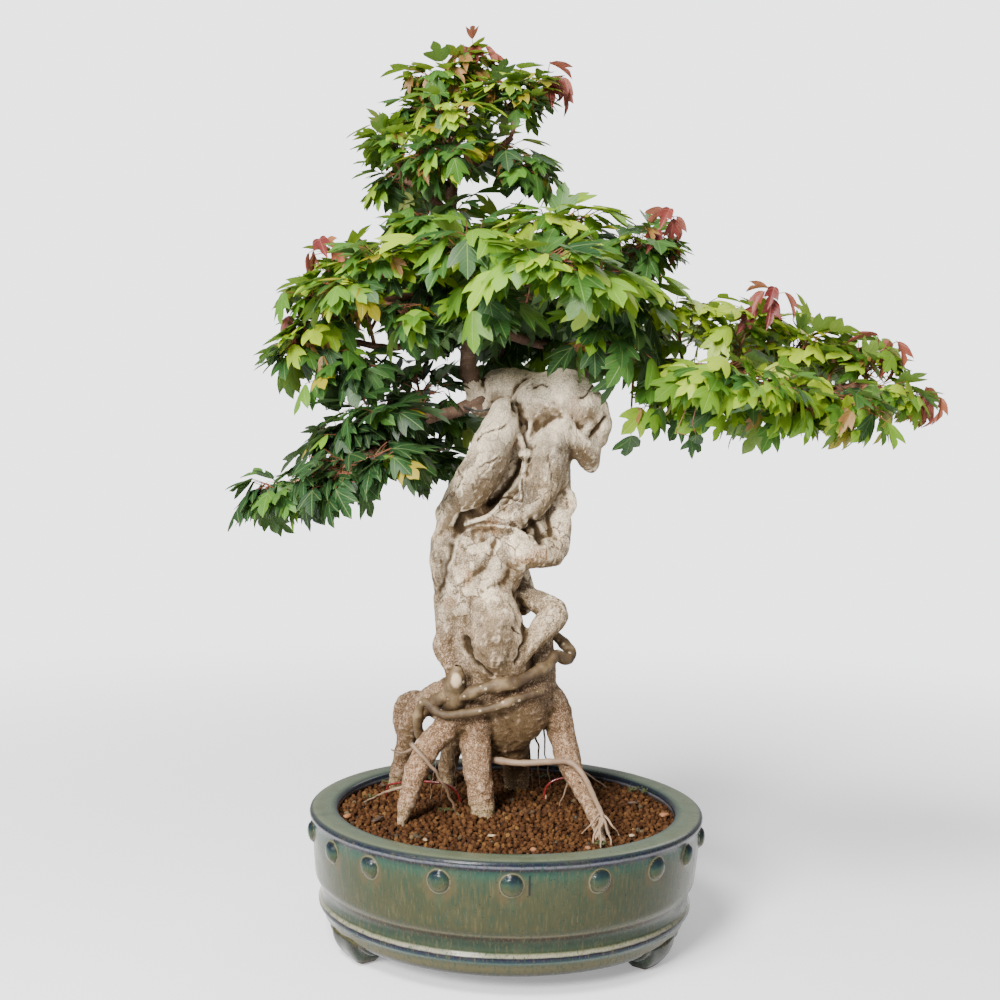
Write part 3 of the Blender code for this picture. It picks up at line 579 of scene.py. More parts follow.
def makeFoot(turn):
    points = []
    steps = pot["footSteps"]
    top = pot["footSection"][0][1]
    for number in range(steps + 1):
        share = 2 * number / steps - 1
        angle = turn + share * pot["footWidth"] / 2 / pot["footTurn"]
        depth = footDepth(share)
        for radius, height in pot["footSection"]:
            shownHeight = top + (height - top) * depth
            bulge = 0.4 * math.sin(6 * share + turn) if radius > pot["outerFrom"] else 0
            shownRadius = radius - (1 - depth) * 1.5 + bulge
            points.append((shownRadius * math.sin(angle), -shownRadius * math.cos(angle), shownHeight))
    columns = len(pot["footSection"])
    faces = gridFaces(steps + 1, columns)
    faces += [tuple(range(columns)), tuple(reversed(range(steps * columns, (steps + 1) * columns)))]
    points = np.array(points)
    return points, facedOut(points, faces)


glaze = {
    # Colours up the wall by height. The cream lines at 32.8 to 34.2 on the bead, the pale line at 47.8 over
    # the groove and the pale lines at 98.8 to 99.8 on the lip's round edge are painted highlights
    "bands": [(0, (0.016, 0.009, 0.005)), (3, (0.014, 0.018, 0.012)),
              (10, (0.013, 0.021, 0.016)), (16, (0.008, 0.007, 0.006)), (18.5, (0.012, 0.01, 0.007)),
              (20, (0.045, 0.04, 0.019)), (23, (0.06, 0.052, 0.026)), (26, (0.04, 0.045, 0.024)),
              (27.6, (0.012, 0.04, 0.034)), (29.2, (0.006, 0.022, 0.03)), (30.4, (0.006, 0.006, 0.02)),
              (31.8, (0.006, 0.004, 0.012)), (32.8, (0.2, 0.19, 0.14)), (34.2, (0.16, 0.155, 0.1)),
              (35.4, (0.022, 0.03, 0.016)), (40, (0.01, 0.02, 0.012)), (43.6, (0.014, 0.02, 0.01)),
              (45, (0.013, 0.008, 0.004)), (46.6, (0.018, 0.01, 0.006)), (47.8, (0.075, 0.068, 0.042)),
              (49.5, (0.030, 0.030, 0.013)), (78, (0.029, 0.033, 0.014)),
              (87, (0.026, 0.037, 0.018)), (92, (0.016, 0.045, 0.028)), (95.6, (0.007, 0.03, 0.024)),
              (96.8, (0.006, 0.004, 0.01)), (98, (0.006, 0.004, 0.012)), (98.8, (0.06, 0.06, 0.085)),
              (99.8, (0.1, 0.1, 0.12)), (100.8, (0.006, 0.007, 0.018)), (102.4, (0.008, 0.01, 0.022)),
              (103.4, (0.055, 0.07, 0.045))],
    "lip": [(134, (0.00186, 0.0031, 0.00868)), (135.6, (0.00372, 0.0062, 0.0136)),
            (137.2, (0.031, 0.0465, 0.0341)), (141, (0.0713, 0.093, 0.0589)), (148, (0.075, 0.092, 0.057)),
            (153.6, (0.088, 0.105, 0.066)), (155, (0.03, 0.036, 0.034)), (156, (0.006, 0.008, 0.018))],
    "fixed": {"Specular IOR Level": 0.13, "Coat Roughness": 0.06, "Coat IOR": 1.4},
    "stored": ("ringHeight", "ringRadius", "studX", "studZ", "bare"),
    "noises": {"mottle": (45.0, 4.0, 0.6)},
    "grains": {"clayGrain": (420.0, 0.5)},
    "specks": {"iron": (420.0, 0.14, 0.2)},
    "products": {"isClay": [("clayHeight", 3.4, 2.2)]},
    "shades": {"clay": ("clayGrain", (0.0155, 0.00806, 0.00496), (0.062, 0.0372, 0.0223))},
    "domeStops": [(0.0, (0.05, 0.046, 0.02)), (0.3, (0.026, 0.034, 0.015)), (0.55, (0.018, 0.034, 0.020)),
                  (0.8, (0.010, 0.022, 0.022)), (1.0, (0.005, 0.008, 0.014))],
    "layers": [
        # Teal and tan streaks down the wall, soft mottling everywhere
        ((0.012, 0.030, 0.018), ("streak", 0.52, 0.66, 0, 0.75), ("offLip", 1)),
        ((0.060, 0.052, 0.023), ("streak", 0.46, 0.34, 0, 0.6), ("offLip", 1)),
        ((0.045, 0.045, 0.022), ("mottle", 0.45, 0.75, 0, 0.3)),
        ((0.015, 0.025, 0.012), ("mottle", 0.5, 0.2, 0, 0.45)),
        # Studs: a tan halo, a drip below, a cream ring with a dark line of painted shadow round the dome's
        # foot, and a teal-blue dome
        ((0.060, 0.042, 0.018), ("haloReach", 14, 9, 0, 0.6)),
        ((0.0217, 0.0434, 0.0217), ("aside", 5, 1.5, 0, 0.55), ("studZ", -24, -11), ("studZ", -7, -10)),
        ((0.10, 0.095, 0.056), ("reach", 9.6, 8.7, 0, 0.8)),
        ((0.009, 0.012, 0.007), ("reach", 8.6, 8.0, 0, 0.9)),
        ("dome", ("reach", 8, 7)),
        # Iron specks, pale ones, and one long dark run of glaze near the middle stud
        ((0.00744, 0.00496, 0.00372), ("iron", 0.75)),
        ((0.06, 0.06, 0.032), ("paleSpecks", 0.4)),
        ((0.00372, 0.00496, 0.00744), ("besideRun", 0.0011, 0.0004, 0, 0.85), ("depth", -0.08, -0.1),
         ("ringHeight", 78, 80), ("ringHeight", 95, 93)),
        # Bare clay under the feet and below; "bare" is the inside
        ("clay", ("isClay", 1)),
        ("clay", ("bare", 1))],
    "relief": (0.0006, 0.4, {"mottle": 0.5, "streak": 0.25, "iron": -0.25, "roughClay": 1.5}),
    # Squeeze of the streaks' height, how far bands run, and where the long run is beside the axis
    "tall": 0.14, "run": 5.0, "runAside": 0.0165,
}


def glazeMasks(tree, place, masks):
    height, radius, studX, studZ = (masks[key] for key in ("ringHeight", "ringRadius", "studX", "studZ"))
    tall = objectPlace(tree, (1, 1, glaze["tall"]))
    mottle = masks["mottle"] - 0.5
    masks["streak"] = noiseOf(tall, 560.0, 4.0, 0.6)
    masks["paleSpecks"] = specksOf(tall, 900.0, 0.25, 0.3)
    # The bands run a little where the glaze flowed, least near an edge
    run = (noiseOf(tall, 110.0) - 0.5) * glaze["run"]
    onWall = between(height, 50, 56) * between(height, 96, 94.5)
    level = made(tree, "ShaderNodeMix", 0, {0: onWall, 2: height + run * 0.22, 3: height + run})
    bands = ramp(level * (1 / 110), [(z / 110, shade) for z, shade in glaze["bands"]])
    lip = ramp((radius - 130) * (1 / 30), [((r - 130) / 30, shade) for r, shade in glaze["lip"]])
    onLip = between(height, 100.2, 101.4) * between(radius, 156.4, 155.2)
    masks["colour"] = blended(onLip, bands, lip)
    masks["offLip"] = 1.0 - onLip
    masks["reach"] = (studX * studX + studZ * studZ).root() + mottle * 3
    masks["haloReach"] = masks["reach"] + studZ * 0.22
    masks["aside"] = abs(studX + run)
    masks["dome"] = ramp(between(studZ + run * 2.2, -8, 8), glaze["domeStops"])
    across, masks["depth"], _ = partsOf(place)
    masks["besideRun"] = abs(across - (potAxis.x + glaze["runAside"]))
    masks["clayHeight"] = height + mottle * 4
    rough = productOf(masks, glaze["products"]["isClay"]).atLeast(masks["bare"])
    masks["Roughness"] = between(masks["mottle"], 0.2, 0.8, 0.14, 0.34).atLeast(rough * 0.85)
    masks["Coat Weight"] = 0.1 - rough * 0.1
    masks["roughClay"] = masks["clayGrain"] * rough


addPiece("glazedPot", makePotMesh(), makeMaterial("streakedGlaze", glaze, glazeMasks)[:1], ["pot"])
print("pot made")


soil = {
    "edgeHeight": 97, "rise": 6, "riseRadius": 134, "edgeRadius": 133.8, "sink": 3.0, "bottom": 26.8,
    "rings": 44, "steps": 132,
    # Height of the bed's bumps, then scale, seed and share of each size
    "bump": 1.3, "bumps": ((0.07, 4.0, 1.0), (0.2, 9.0, 0.6)),
    # Radius and height from the edge down to the drain screen
    "side": [(133.8, 92.6), (143.8, 83.8), (143.8, 38.2), (131.8, 25.3), (60, 25.3), (25, 25.3)],
    "grainSize": 5.2, "grainShapes": 7, "grainCorners": 16,
    # Lift and gap of each scattering of grains
    "scatters": ((0.6, 3.9), (2.5, 4.5)),
    "bedLooks": {
        "fixed": {"Roughness": 0.95}, "grains": {"grain": (260.0, 0.4)},
        "ground": ("grain", [(0.3, (0.014, 0.006, 0.003)), (0.7, (0.05, 0.020, 0.009))]),
        "relief": (0.003, 0.8, {"grain": 1})},
    "grainLooks": {
        "fixed": {"Roughness": 0.95, "Specular IOR Level": 0.1}, "stored": ("tone",),
        "noises": {"patch": (30.0,), "lumps": (420.0, 2.0)}, "grains": {"grain": (900.0, 0.5)},
        # The last three tones are a few odd stones
        "ground": ("tone", [
            (0.0, (0.040, 0.015, 0.005)), (0.3, (0.068, 0.027, 0.009)), (0.62, (0.095, 0.040, 0.014)),
            (0.90, (0.125, 0.056, 0.02)), (0.965, (0.16, 0.075, 0.024)), (0.98, (0.28, 0.15, 0.045)),
            (0.985, (0.13, 0.10, 0.055)), (1.0, (0.06, 0.05, 0.035))]),
        "layers": [((0.03, 0.012, 0.005), ("grain", 0.35, 0.7, 0, 0.6)),
                   ((0.06, 0.03, 0.018), ("patch", 0.5, 0.8, 0, 0.5))],
        "relief": (0.003, 0.9, {"grain": 0.5, "lumps": 1})},
}


def soilHeight(radius):
    return soil["edgeHeight"] + soil["rise"] * (1 - (radius / soil["riseRadius"]) ** 2)


def makeSoilMesh():
    steps = soil["steps"]
    radii = np.linspace(0, soil["edgeRadius"], soil["rings"])[1:]
    angles = np.linspace(0, 2 * math.pi, steps, endpoint=False)
    points = [(0, 0, soilHeight(0) - soil["sink"])]
    for radius in radii:
        for angle in angles:
            x, y = radius * math.cos(angle), radius * math.sin(angle)
            rough = sum(share * noise.noise(Vector((x, y, seed)) * scale)
                        for scale, seed, share in soil["bumps"])
            points.append((x, y, soilHeight(radius) - soil["sink"] + soil["bump"] * rough))
    for radius, height in soil["side"]:
        points += [(radius * math.cos(a), radius * math.sin(a), height) for a in angles]
    rows = len(radii) + len(soil["side"])
    faces = gridFaces(rows, steps, start=1)
    faces += [(0, 1 + n, 1 + (n + 1) % steps) for n in range(steps)]
    pole, last = len(points), 1 + (rows - 1) * steps
    points.append((0, 0, soil["bottom"]))
    faces += [(pole, last + (n + 1) % steps, last + n) for n in range(steps)]
    mesh = meshOf("soil", points, faces)
    work = bmesh.new()
    work.from_mesh(mesh)
    bmesh.ops.recalc_face_normals(work, faces=work.faces)
    work.to_mesh(mesh)
    work.free()
    return mesh


def grainHull(seed, corners):
    # An irregular lump about 1 across: the hull of points near a ball
    draw = random.Random(seed)
    goldenTurn = 2.4
    work = bmesh.new()
    squash = Vector((1.0, draw.uniform(0.72, 1.0), draw.uniform(0.62, 0.9))) * 0.5
    for number in range(corners):
        height = 1 - 2 * (number + 0.5) / corners
        turn = number * goldenTurn + draw.uniform(-0.5, 0.5)
        flat = math.sqrt(1 - height ** 2)
        reach = draw.uniform(0.72, 1.14)
        work.verts.new([a * b * reach for a, b in zip((flat * math.cos(turn), flat * math.sin(turn), height),
                                                      squash)])
    bmesh.ops.convex_hull(work, input=work.verts)
    loose = [point for point in work.verts if not point.link_faces]
    bmesh.ops.delete(work, geom=loose, context="VERTS")
    bmesh.ops.recalc_face_normals(work, faces=work.faces)
    work.verts.index_update()
    points = [tuple(point.co) for point in work.verts]
    faces = [[point.index for point in face.verts] for face in work.faces]
    work.free()
    return points, faces


def shapeCollection(name, meshes):
    collection = bpy.data.collections.new(name)
    for number, mesh in enumerate(meshes):
        collection.objects.link(bpy.data.objects.new(f"{name}{number:02d}", mesh))
    return collection


def removeCollection(collection):
    for obj in list(collection.objects):
        bpy.data.objects.remove(obj)
    bpy.data.collections.remove(collection)


def grown(obj, tree, values):
    # The plain mesh that the tree makes of the object, with the modifier's inputs set by identifier
    modifier = obj.modifiers.new("grow", "NODES")
    modifier.node_group = tree
    for item in tree.interface.items_tree:
        if item.in_out == "INPUT" and item.name in values:
            modifier[item.identifier] = values[item.name]
    mesh = evaluatedMesh(obj)
    obj.modifiers.remove(modifier)
    return mesh


def randomValue(tree, low, high, seed):
    return made(tree, "FunctionNodeRandomValue", 1, {2: low, 3: high, "Seed": seed}, data_type="FLOAT")


def placesOf(tree, points, shapes, **more):
    # A shape from the collection on every point, picked by number where one is given
    picked = made(tree, "GeometryNodeCollectionInfo", 0, {
        "Collection": shapes, "Separate Children": True, "Reset Children": True})
    return made(tree, "GeometryNodeInstanceOnPoints", 0, {
        "Points": points, "Instance": picked, "Pick Instance": True, **more})


def painted(tree, shapes, material):
    return made(tree, "GeometryNodeSetMaterial", 0, {"Geometry": shapes, "Material": material})


def grainTree():
    tree, given, out = newTree("scatterGrains", "GeometryNodeTree", [
        ("Geometry", "Geometry"), ("Grains", "Collection"), ("Gap", "Float"), ("Size", "Float"),
        ("Lift", "Float"), ("Seed", "Int"), ("Material", "Material")], ("Geometry", "Geometry"))
    points = made(tree, "GeometryNodeDistributePointsOnFaces", "Points", {
        "Mesh": given["Geometry"], "Distance Min": given["Gap"], "Density Max": 300000.0,
        "Seed": given["Seed"]}, distribute_method="POISSON")
    rise = made(tree, "ShaderNodeCombineXYZ", 0, {2: given["Lift"]})
    moved = made(tree, "GeometryNodeSetPosition", 0, {"Geometry": points, "Offset": rise})
    turn = made(tree, "FunctionNodeRandomValue", 0, {1: (6.28, 6.28, 6.28), "Seed": given["Seed"]},
                data_type="FLOAT_VECTOR")
    size = given["Size"] * randomValue(tree, 0.72, 1.22, 7)
    placed = placesOf(tree, moved, given["Grains"], Rotation=turn, Scale=size)
    toned = made(tree, "GeometryNodeStoreNamedAttribute", 0, {
        "Geometry": placed, "Name": "tone", "Value": randomValue(tree, 0.0, 1.0, 3)},
        data_type="FLOAT", domain="INSTANCE")
    solid = made(tree, "GeometryNodeRealizeInstances", 0, {"Geometry": toned})
    plug(painted(tree, solid, given["Material"]), out)
    return tree


def makeSoil():
    clayGrains = makeMaterial("bakedClayGrains", soil["grainLooks"])[0]
    mesh = makeSoilMesh()
    addPiece("soilBed", mesh, makeMaterial("deepSoil", soil["bedLooks"])[:1], ["soil"])
    # Grains lie on the top of the bed alone
    top = linked("soilTop", mesh.copy())
    work = bmesh.new()
    work.from_mesh(top.data)
    under = [face for face in work.faces if face.normal.z < 0.5 or face.calc_center_median().z < 90 * mm]
    bmesh.ops.delete(work, geom=under, context="FACES")
    work.to_mesh(top.data)
    work.free()
    shapes = shapeCollection("grainShape", [newMesh("grainShape", *grainHull(seed, soil["grainCorners"]))
                                            for seed in range(soil["grainShapes"])])
    tree = grainTree()
    for number, (lift, gap) in enumerate(soil["scatters"]):
        grains = grown(top, tree, {"Grains": shapes, "Gap": gap * mm, "Size": soil["grainSize"] * mm,
                                   "Lift": lift * mm, "Seed": 11 + number, "Material": clayGrains})
        addPiece(f"soilGrains{number + 1}", grains, (), ["soil"])
        print("grains", len(grains.polygons))
    bpy.data.objects.remove(top)
    removeCollection(shapes)


makeSoil()
print("soil made")


thickLimbs = {
    "core": [
        (1, 25, 145, 18), (-7, 10, 181, 33), (-22, 5, 227, 34), (-24, 5, 267, 31), (-26, 6, 303, 31),
        (-12, 12, 338, 25), (9, 15, 372, 23), (30, 10, 406, 27), (40, 8, 424, 24)],
    "left_lobe": [
        (-50, -6, 333, 12), (-40, -14, 346, 15), (-31, -19, 361, 16.5), (-22, -21, 376, 17),
        (-14, -21, 397, 16), (-8, -16, 417, 12)],
    "left_flank": [(-44, 0, 331, 16), (-50, 0, 299, 14), (-46, 0, 267, 12)],
    "right_lobe": [
        (36, -12, 404, 13), (30, -14, 388, 15), (26, -15, 372, 15), (22, -15, 358, 14),
        (14, -14, 347, 13), (4, -12, 338, 12), (-8, -10, 330, 10)],
    "elbow": [(3, -14, 308, 15), (22, -10, 308, 13), (34, -5, 308, 11.5)],
    "elbow_column": [
        (36, 4, 380, 8), (38, 2, 362, 8), (38, 1, 345, 8.5), (38, 0, 325, 9.5), (36, -3, 310, 11)],
    "nub": [(43, -3, 357, 2.5), (47, -5, 352, 3.2), (48, -5, 345, 3.4), (45, -4, 338, 2.6)],
    "head": [(20, 4, 424, 24), (40, -2, 430, 23), (50, 0, 416, 19)],
    "head_ear": [(50, -10, 434, 12), (60, -8, 422, 13)],
    "head_edge": [(64, -2, 423, 10), (68, -4, 410, 9.5), (66, -2, 397, 8)],
    "head_chin": [(24, -12, 395, 12), (42, -10, 397, 13), (56, -4, 391, 13), (61, 0, 379, 8.5)],
    "burl": [(16, 25, 432, 18), (-8, 28, 437, 17), (-21, 28, 432, 13), (-29, 25, 425, 9)],
    "belly": [(-16, -16, 266, 21), (-9, -20, 235, 24), (-3, -15, 210, 20)],
    "haunch": [(20, 0, 232, 15), (23, 0, 208, 15), (24, 5, 187, 15)],
    "base": [(5, 0, 196, 32), (10, 2, 176, 24), (6, 8, 158, 14)],
    "back_rib": [
        (-7, 28, 182, 21), (-28, 34, 230, 21), (-17, 36, 280, 19), (-10, 34, 329, 19), (14, 34, 371, 19),
        (25, 30, 404, 19)],
    "back_swirl": [(8, 25, 265, 14), (-5, 38, 296, 14), (-26, 42, 320, 13), (-35, 36, 345, 11)],
    "loop": [
        (4, 14, 275, 10), (18, 6, 268, 9), (30, -3, 263, 10.5), (35, -8, 259, 11.5), (28, -16, 251, 11),
        (19, -23, 239, 8), (11, -29, 228, 5.5), (2, -33, 218, 4.2), (-5, -35, 210, 3.6)],
    "upper_rope": [
        (36, 6, 240, 3.6), (43, 4, 234, 4.4), (49, 0, 227, 5), (44, -7, 223, 4.8), (37, -13, 227, 4.4),
        (31, -21, 221, 4.4), (20, -29, 215, 4.6), (7, -35, 209, 4.8), (-6, -39, 207.5, 5),
        (-19, -40, 204, 4.8), (-33, -37, 199, 4.8), (-48, -32, 196, 5), (-58, -26, 190, 5.5)],
    "lower_rope": [
        (24, -31, 200, 3.4), (6, -37, 195.5, 3.2), (-5, -38, 191, 3.4), (-18, -38, 187, 3.2),
        (-33, -36, 183.5, 3.4), (-49, -34, 181.5, 3.4), (-58, -30, 185, 3.4), (-65, -26, 190, 3.6),
        (-70, -21, 182, 3.6), (-71, -17, 168, 3.8), (-68, -12, 156, 3.8)],
    "root_front_left": [
        (-37, -10, 189, 15), (-49, -22, 169, 11.2), (-62, -32, 155, 10), (-71, -42, 136, 9),
        (-77, -48, 116, 7), (-80, -51, 103, 4), (-81, -53, 88, 1.5)],
    "root_front": [
        (-23, -5, 188, 19), (-26, -14, 166, 13.5), (-24, -20, 139, 12), (-20, -25, 115, 11),
        (-18, -28, 102, 10), (-17, -29, 88, 8)],
    "root_left": [
        (-47, 12, 190, 13), (-66, 25, 180, 10), (-76, 35, 168, 9), (-83, 45, 148, 8.7), (-88, 52, 124, 8),
        (-92, 56, 104, 7.4), (-93, 58, 88, 6)],
    "root_left_loop": [
        (-56, 32, 170, 7), (-72, 46, 177, 7), (-85, 55, 174, 7.6), (-90, 58, 162, 7), (-87, 56, 148, 7)],
    "root_right": [
        (21, 8, 195, 17), (35, 6, 183, 14), (44, 4, 159, 11.4), (50, -4, 139, 9.8), (56, -16, 127, 8),
        (64, -42, 115, 6), (69, -66, 106, 5), (71, -78, 98, 4), (72, -81, 88, 3.4)],
    "root_back_left": [(-31, 25, 182, 14.7), (-43, 48, 148, 10), (-49, 62, 119, 8.4), (-52, 66, 88, 7)],
    "root_back_right": [
        (30, 25, 187, 12), (42, 48, 158, 9), (54, 62, 129, 7.6), (61, 70, 104, 6.5), (62, 72, 88, 5.5)],
    "tap": [(4, 20, 167, 20), (6, 38, 142, 13), (8, 52, 119, 11), (8, 58, 88, 10)],
}
thinLimbs = {
    "leader": [
        (-27, 25, 423, 9), (-37, 20, 449, 7), (-37, 15, 470, 6.4), (-29, 8, 492, 6), (-31, 5, 517, 5.5),
        (-44, 5, 544, 5), (-52, 5, 571, 4.5), (-53, 5, 599, 4), (-50, 5, 626, 3.3), (-45, 5, 650, 2.6)],
    "left_upper": [
        (-30, 10, 486, 5), (-53, 8, 489, 4), (-72, 4, 481, 3.6), (-87, 0, 469, 3.2), (-103, -5, 466, 2.8),
        (-126, -10, 470, 2.4)],
    "left_lower": [
        (-26, 25, 429, 6), (-48, 20, 417, 5), (-75, 10, 410, 4.4), (-106, 0, 397, 3.6), (-133, -5, 381, 3),
        (-160, -8, 361, 2.5)],
    "right_upper": [
        (-31, 5, 517, 5), (-6, 0, 525, 4.7), (21, -8, 523, 4.3), (52, -14, 520, 3.6), (75, -16, 529, 2.8)],
    "right_long": [
        (41, 22, 426, 10), (56, 24, 451, 7.2), (83, 15, 461, 6), (119, 6, 457, 5.2), (158, 0, 448, 4.3),
        (197, -4, 442, 3.6), (236, -6, 441, 3), (268, -6, 444, 2.4)],
    "middle_back": [(-30, 8, 491, 5), (-5, 30, 480, 4.2), (24, 50, 473, 3.5), (62, 60, 474, 2.8)],
    "front_middle": [(-31, 5, 517, 4.5), (-22, -40, 519, 3.8), (0, -80, 514, 3.2), (15, -105, 508, 2.6)],
    "left_front": [(-29, 8, 495, 4.5), (-50, -20, 503, 3.8), (-80, -50, 503, 3), (-100, -65, 498, 2.5)],
    "back_left": [(-48, 5, 555, 4), (-70, 40, 545, 3.4), (-95, 75, 532, 2.8)],
    "back_middle": [(-31, 5, 517, 4.5), (-15, 45, 520, 3.8), (10, 85, 515, 3), (25, 105, 508, 2.5)],
    "right_front": [(119, 6, 457, 4), (145, -25, 455, 3.2), (170, -50, 448, 2.6)],
    "right_back": [(158, 0, 448, 3.8), (185, 35, 455, 3), (210, 55, 452, 2.5)],
    "left_lower_back": [(-75, 10, 410, 4), (-100, 45, 402, 3.2), (-125, 70, 392, 2.6)],
    "left_lower_front": [(-75, 10, 410, 4), (-95, -25, 396, 3), (-115, -45, 380, 2.5)],
    "crown_left": [(-52, 5, 571, 3.4), (-75, -5, 588, 2.8), (-92, -8, 598, 2.3)],
    "crown_right": [(-53, 5, 599, 3.4), (-30, -10, 612, 2.6), (-8, -15, 628, 2.2)],
    "crown_front": [(-52, 5, 580, 3.4), (-50, -28, 595, 2.5)],
    "crown_back": [(-53, 5, 590, 3.4), (-52, 38, 600, 2.5)],
}
trunk = {
    "voxel": 1.65, "roughVoxel": 3.0, "smoothing": 3, "sides": 16, "spacing": 3.0,
    # Branches and aerial roots are finer. A root's end below this height is in the soil
    "fineSides": 14, "fineSpacing": 1.8, "buried": 88,
    # Lumps and wrinkles pushed out of the bark: stretch, scale, seed, octaves and height
    "swells": [((1, 1, 1), 0.035, 7, 1, 1.5), ((1, 1, 1), 0.08, 9, 1, 0.8), ((1, 1, 0.6), 0.17, 13, 3, 0.7)],
    # Rings on the roots alone, which fade out between two heights
    "rings": ((0.5, 0.5, 1.5), 0.16, 19, 2, 0.5), "ringsFade": (205, 245),
    # Creases wander: scale, seeds in x and z, and reach. They are on faces that look forward, in front of y
    "wander": (0.12, (51, 63), 1.8), "frontY": 14,
    # How often the bark is averaged for each kind of hollow, and the depth at which that is full. The colour
    # paints shade into these hollows and light onto the bulges and edges
    "hollows": {"fineHollow": (3, 0.35), "hollow": (14, 1.6), "wideHollow": (74, 5)},
    "ropeReach": (10, 3),
    # Aerial roots that lie free on the rest
    "loose": ("upper_rope", "lower_rope"),
    # Fullness behind the recess and under the big lobe
    "fillers": [
        [(4, 18, 356, 16), (10, 20, 325, 18), (16, 14, 300, 14)],
        [(36, -5, 398, 12), (34, -6, 378, 11), (33, -4, 360, 9)],
        [(12, 3, 350, 11), (17, 3, 330, 13), (20, 0, 314, 13)],
        [(-38, -8, 340, 11), (-22, -13, 334, 12), (-4, -13, 330, 12)],
        [(-33, -7, 321, 12), (-16, -12, 322, 12), (2, -11, 320, 11)],
        [(-6, -15, 426, 3.4), (-2, -18, 411, 3.4), (3, -21, 400, 3.4), (7, -23, 391, 3.6)],
        [(8, -24, 388, 5), (9, -25, 384, 5.4)],
        [(8, -22, 380, 2.4), (7, -19, 366, 2.4), (6, -17, 353, 2.2)]],
    # The first points of each branch grow together with the trunk, thick at first
    "collars": {"leader": 3, "left_upper": 2, "left_lower": 2, "right_long": 3}, "collarScale": (1.18, 0.6),
    # Creases and cracks seen from the front: depth, half width, then x and z along each
    "creases": [
        (5, 2.6, (5, 378), (1, 367), (-8, 356), (-15, 347), (-24, 339), (-39, 336), (-42, 326)),
        (1.6, 0.9, (-9, 350), (-1, 350), (6, 349)),
        (1.4, 0.9, (7, 365), (7, 349)),
        (5, 3.2, (15, 331), (19, 325), (22, 318)),
        (0.9, 0.8, (27, 385), (29, 373), (31, 362), (30, 350)),
        (3, 2.2, (-1, 424), (0, 420)),
        (2.2, 2.4, (-47, 313), (-50, 299), (-53, 283), (-56, 276)),
        (5, 2.2, (-35, 240), (-32, 232)),
        (2.6, 1.8, (-32, 230), (-25, 221), (-15, 215)),
        (2, 1.3, (11, 254), (11, 240), (5, 224)),
        (1.5, 0.8, (2, 251), (8, 247)),
        (1, 1.2, (-39, 325), (-28, 330), (-17, 332), (-7, 331), (4, 329), (12, 323)),
        (1.6, 0.8, (50, 430), (57, 435), (61, 442)),
        (1.8, 1.4, (59, 400), (65, 407), (70, 415)),
        (1.4, 0.8, (13, 438), (19, 440), (25, 438)),
        (1.4, 0.8, (-28, 395), (-24, 401), (-13, 404), (-7, 408)),
        (1.4, 0.8, (-27, 375), (-20, 379), (-11, 382)),
        (1.4, 0.8, (-44, 359), (-40, 366), (-42, 372))],
    # Strokes of broad painted shade on the front: strength, half width, then x and z along each
    "paintedShadeStrokes": [
        (0.9, 14, (-40, 346), (-27, 358), (-16, 373), (-8, 388)), (0.45, 6, (-44, 362), (-38, 374)),
        (0.45, 8, (-18, 396), (-10, 408)),
        (0.75, 9, (24, 394), (19, 376), (16, 358), (8, 346)), (0.5, 6, (34, 372), (30, 352)),
        (0.8, 9, (38, 391), (52, 386), (62, 377)), (0.45, 7, (60, 420), (66, 405)),
        (0.5, 5, (14, 417), (27, 413)), (0.6, 7, (-60, 312), (-59, 290), (-57, 268)),
        (1.0, 17, (-12, 252), (-9, 228)),
        (0.5, 9, (-50, 262), (-47, 242)), (0.5, 8, (-12, 303), (-25, 290), (-34, 272)),
        (0.5, 7, (6, 284), (10, 266)), (0.55, 9, (30, 299), (38, 312)), (0.4, 8, (-32, 316), (-16, 312))],
    # Folds, ridges and knots on the front: radius, share of it that stands out, then x and z along each
    "folds": [
        (7, 0.3, (-55, 317), (-58, 301), (-55, 283), (-54, 270)),
        (8, 0.28, (-38, 321), (-44, 305), (-49, 286), (-53, 266), (-54, 250)),
        (13, 0.16, (-17, 321), (-19, 314), (-29, 301), (-38, 283), (-46, 261), (-50, 239)),
        (14, 0.18, (0, 320), (-2, 315), (-14, 295), (-26, 278), (-36, 260)),
        (18, 0.3, (-7, 258), (-12, 242), (-10, 229)),
        (11, 0.4, (-47, 248), (-50, 232), (-44, 216)),
        (9, 0.28, (7, 301), (-2, 283), (-13, 271)),
        (6, 0.4, (8, 272), (15, 258)),
        (2.8, 0.7, (13, 411), (11, 399), (12, 391)),
        (5, 0.6, (-11, 344), (-20, 337), (-29, 333), (-38, 330)),
        (2.6, 0.7, (-40, 322), (-29, 328), (-19, 330), (-8, 329), (2, 327), (11, 320)),
        (2, 0.6, (6, 429), (16, 427), (26, 423), (36, 421), (42, 412), (49, 403), (57, 396), (65, 389)),
        (3, 0.7, (61, 432), (69, 425), (74, 415)),
        (3, 0.6, (54, 405), (61, 410), (67, 417), (71, 422)),
        (9, 0.4, (55, 440), (56, 428), (54, 419)),
        (2.2, 0.5, (-1, 429), (7, 437), (16, 443), (25, 447)),
        (4, 0.5, (-52, 336), (-59, 320), (-62, 304))],
}


def rounded(route):
    # The route with a dome on each end, apart from a root's end in the soil
    def dome(end, before):
        place = Vector(end[:3])
        way = (place - Vector(before[:3])).normalized() * end[3]
        return [(*(place + way * reach), end[3] * share) for reach, share in ((0.5, 0.8), (0.85, 0.4))]

    longer = list(reversed(dome(route[0], route[1]))) + list(route)
    return longer + (dome(route[-1], route[-2]) if route[-1][2] > trunk["buried"] else [])


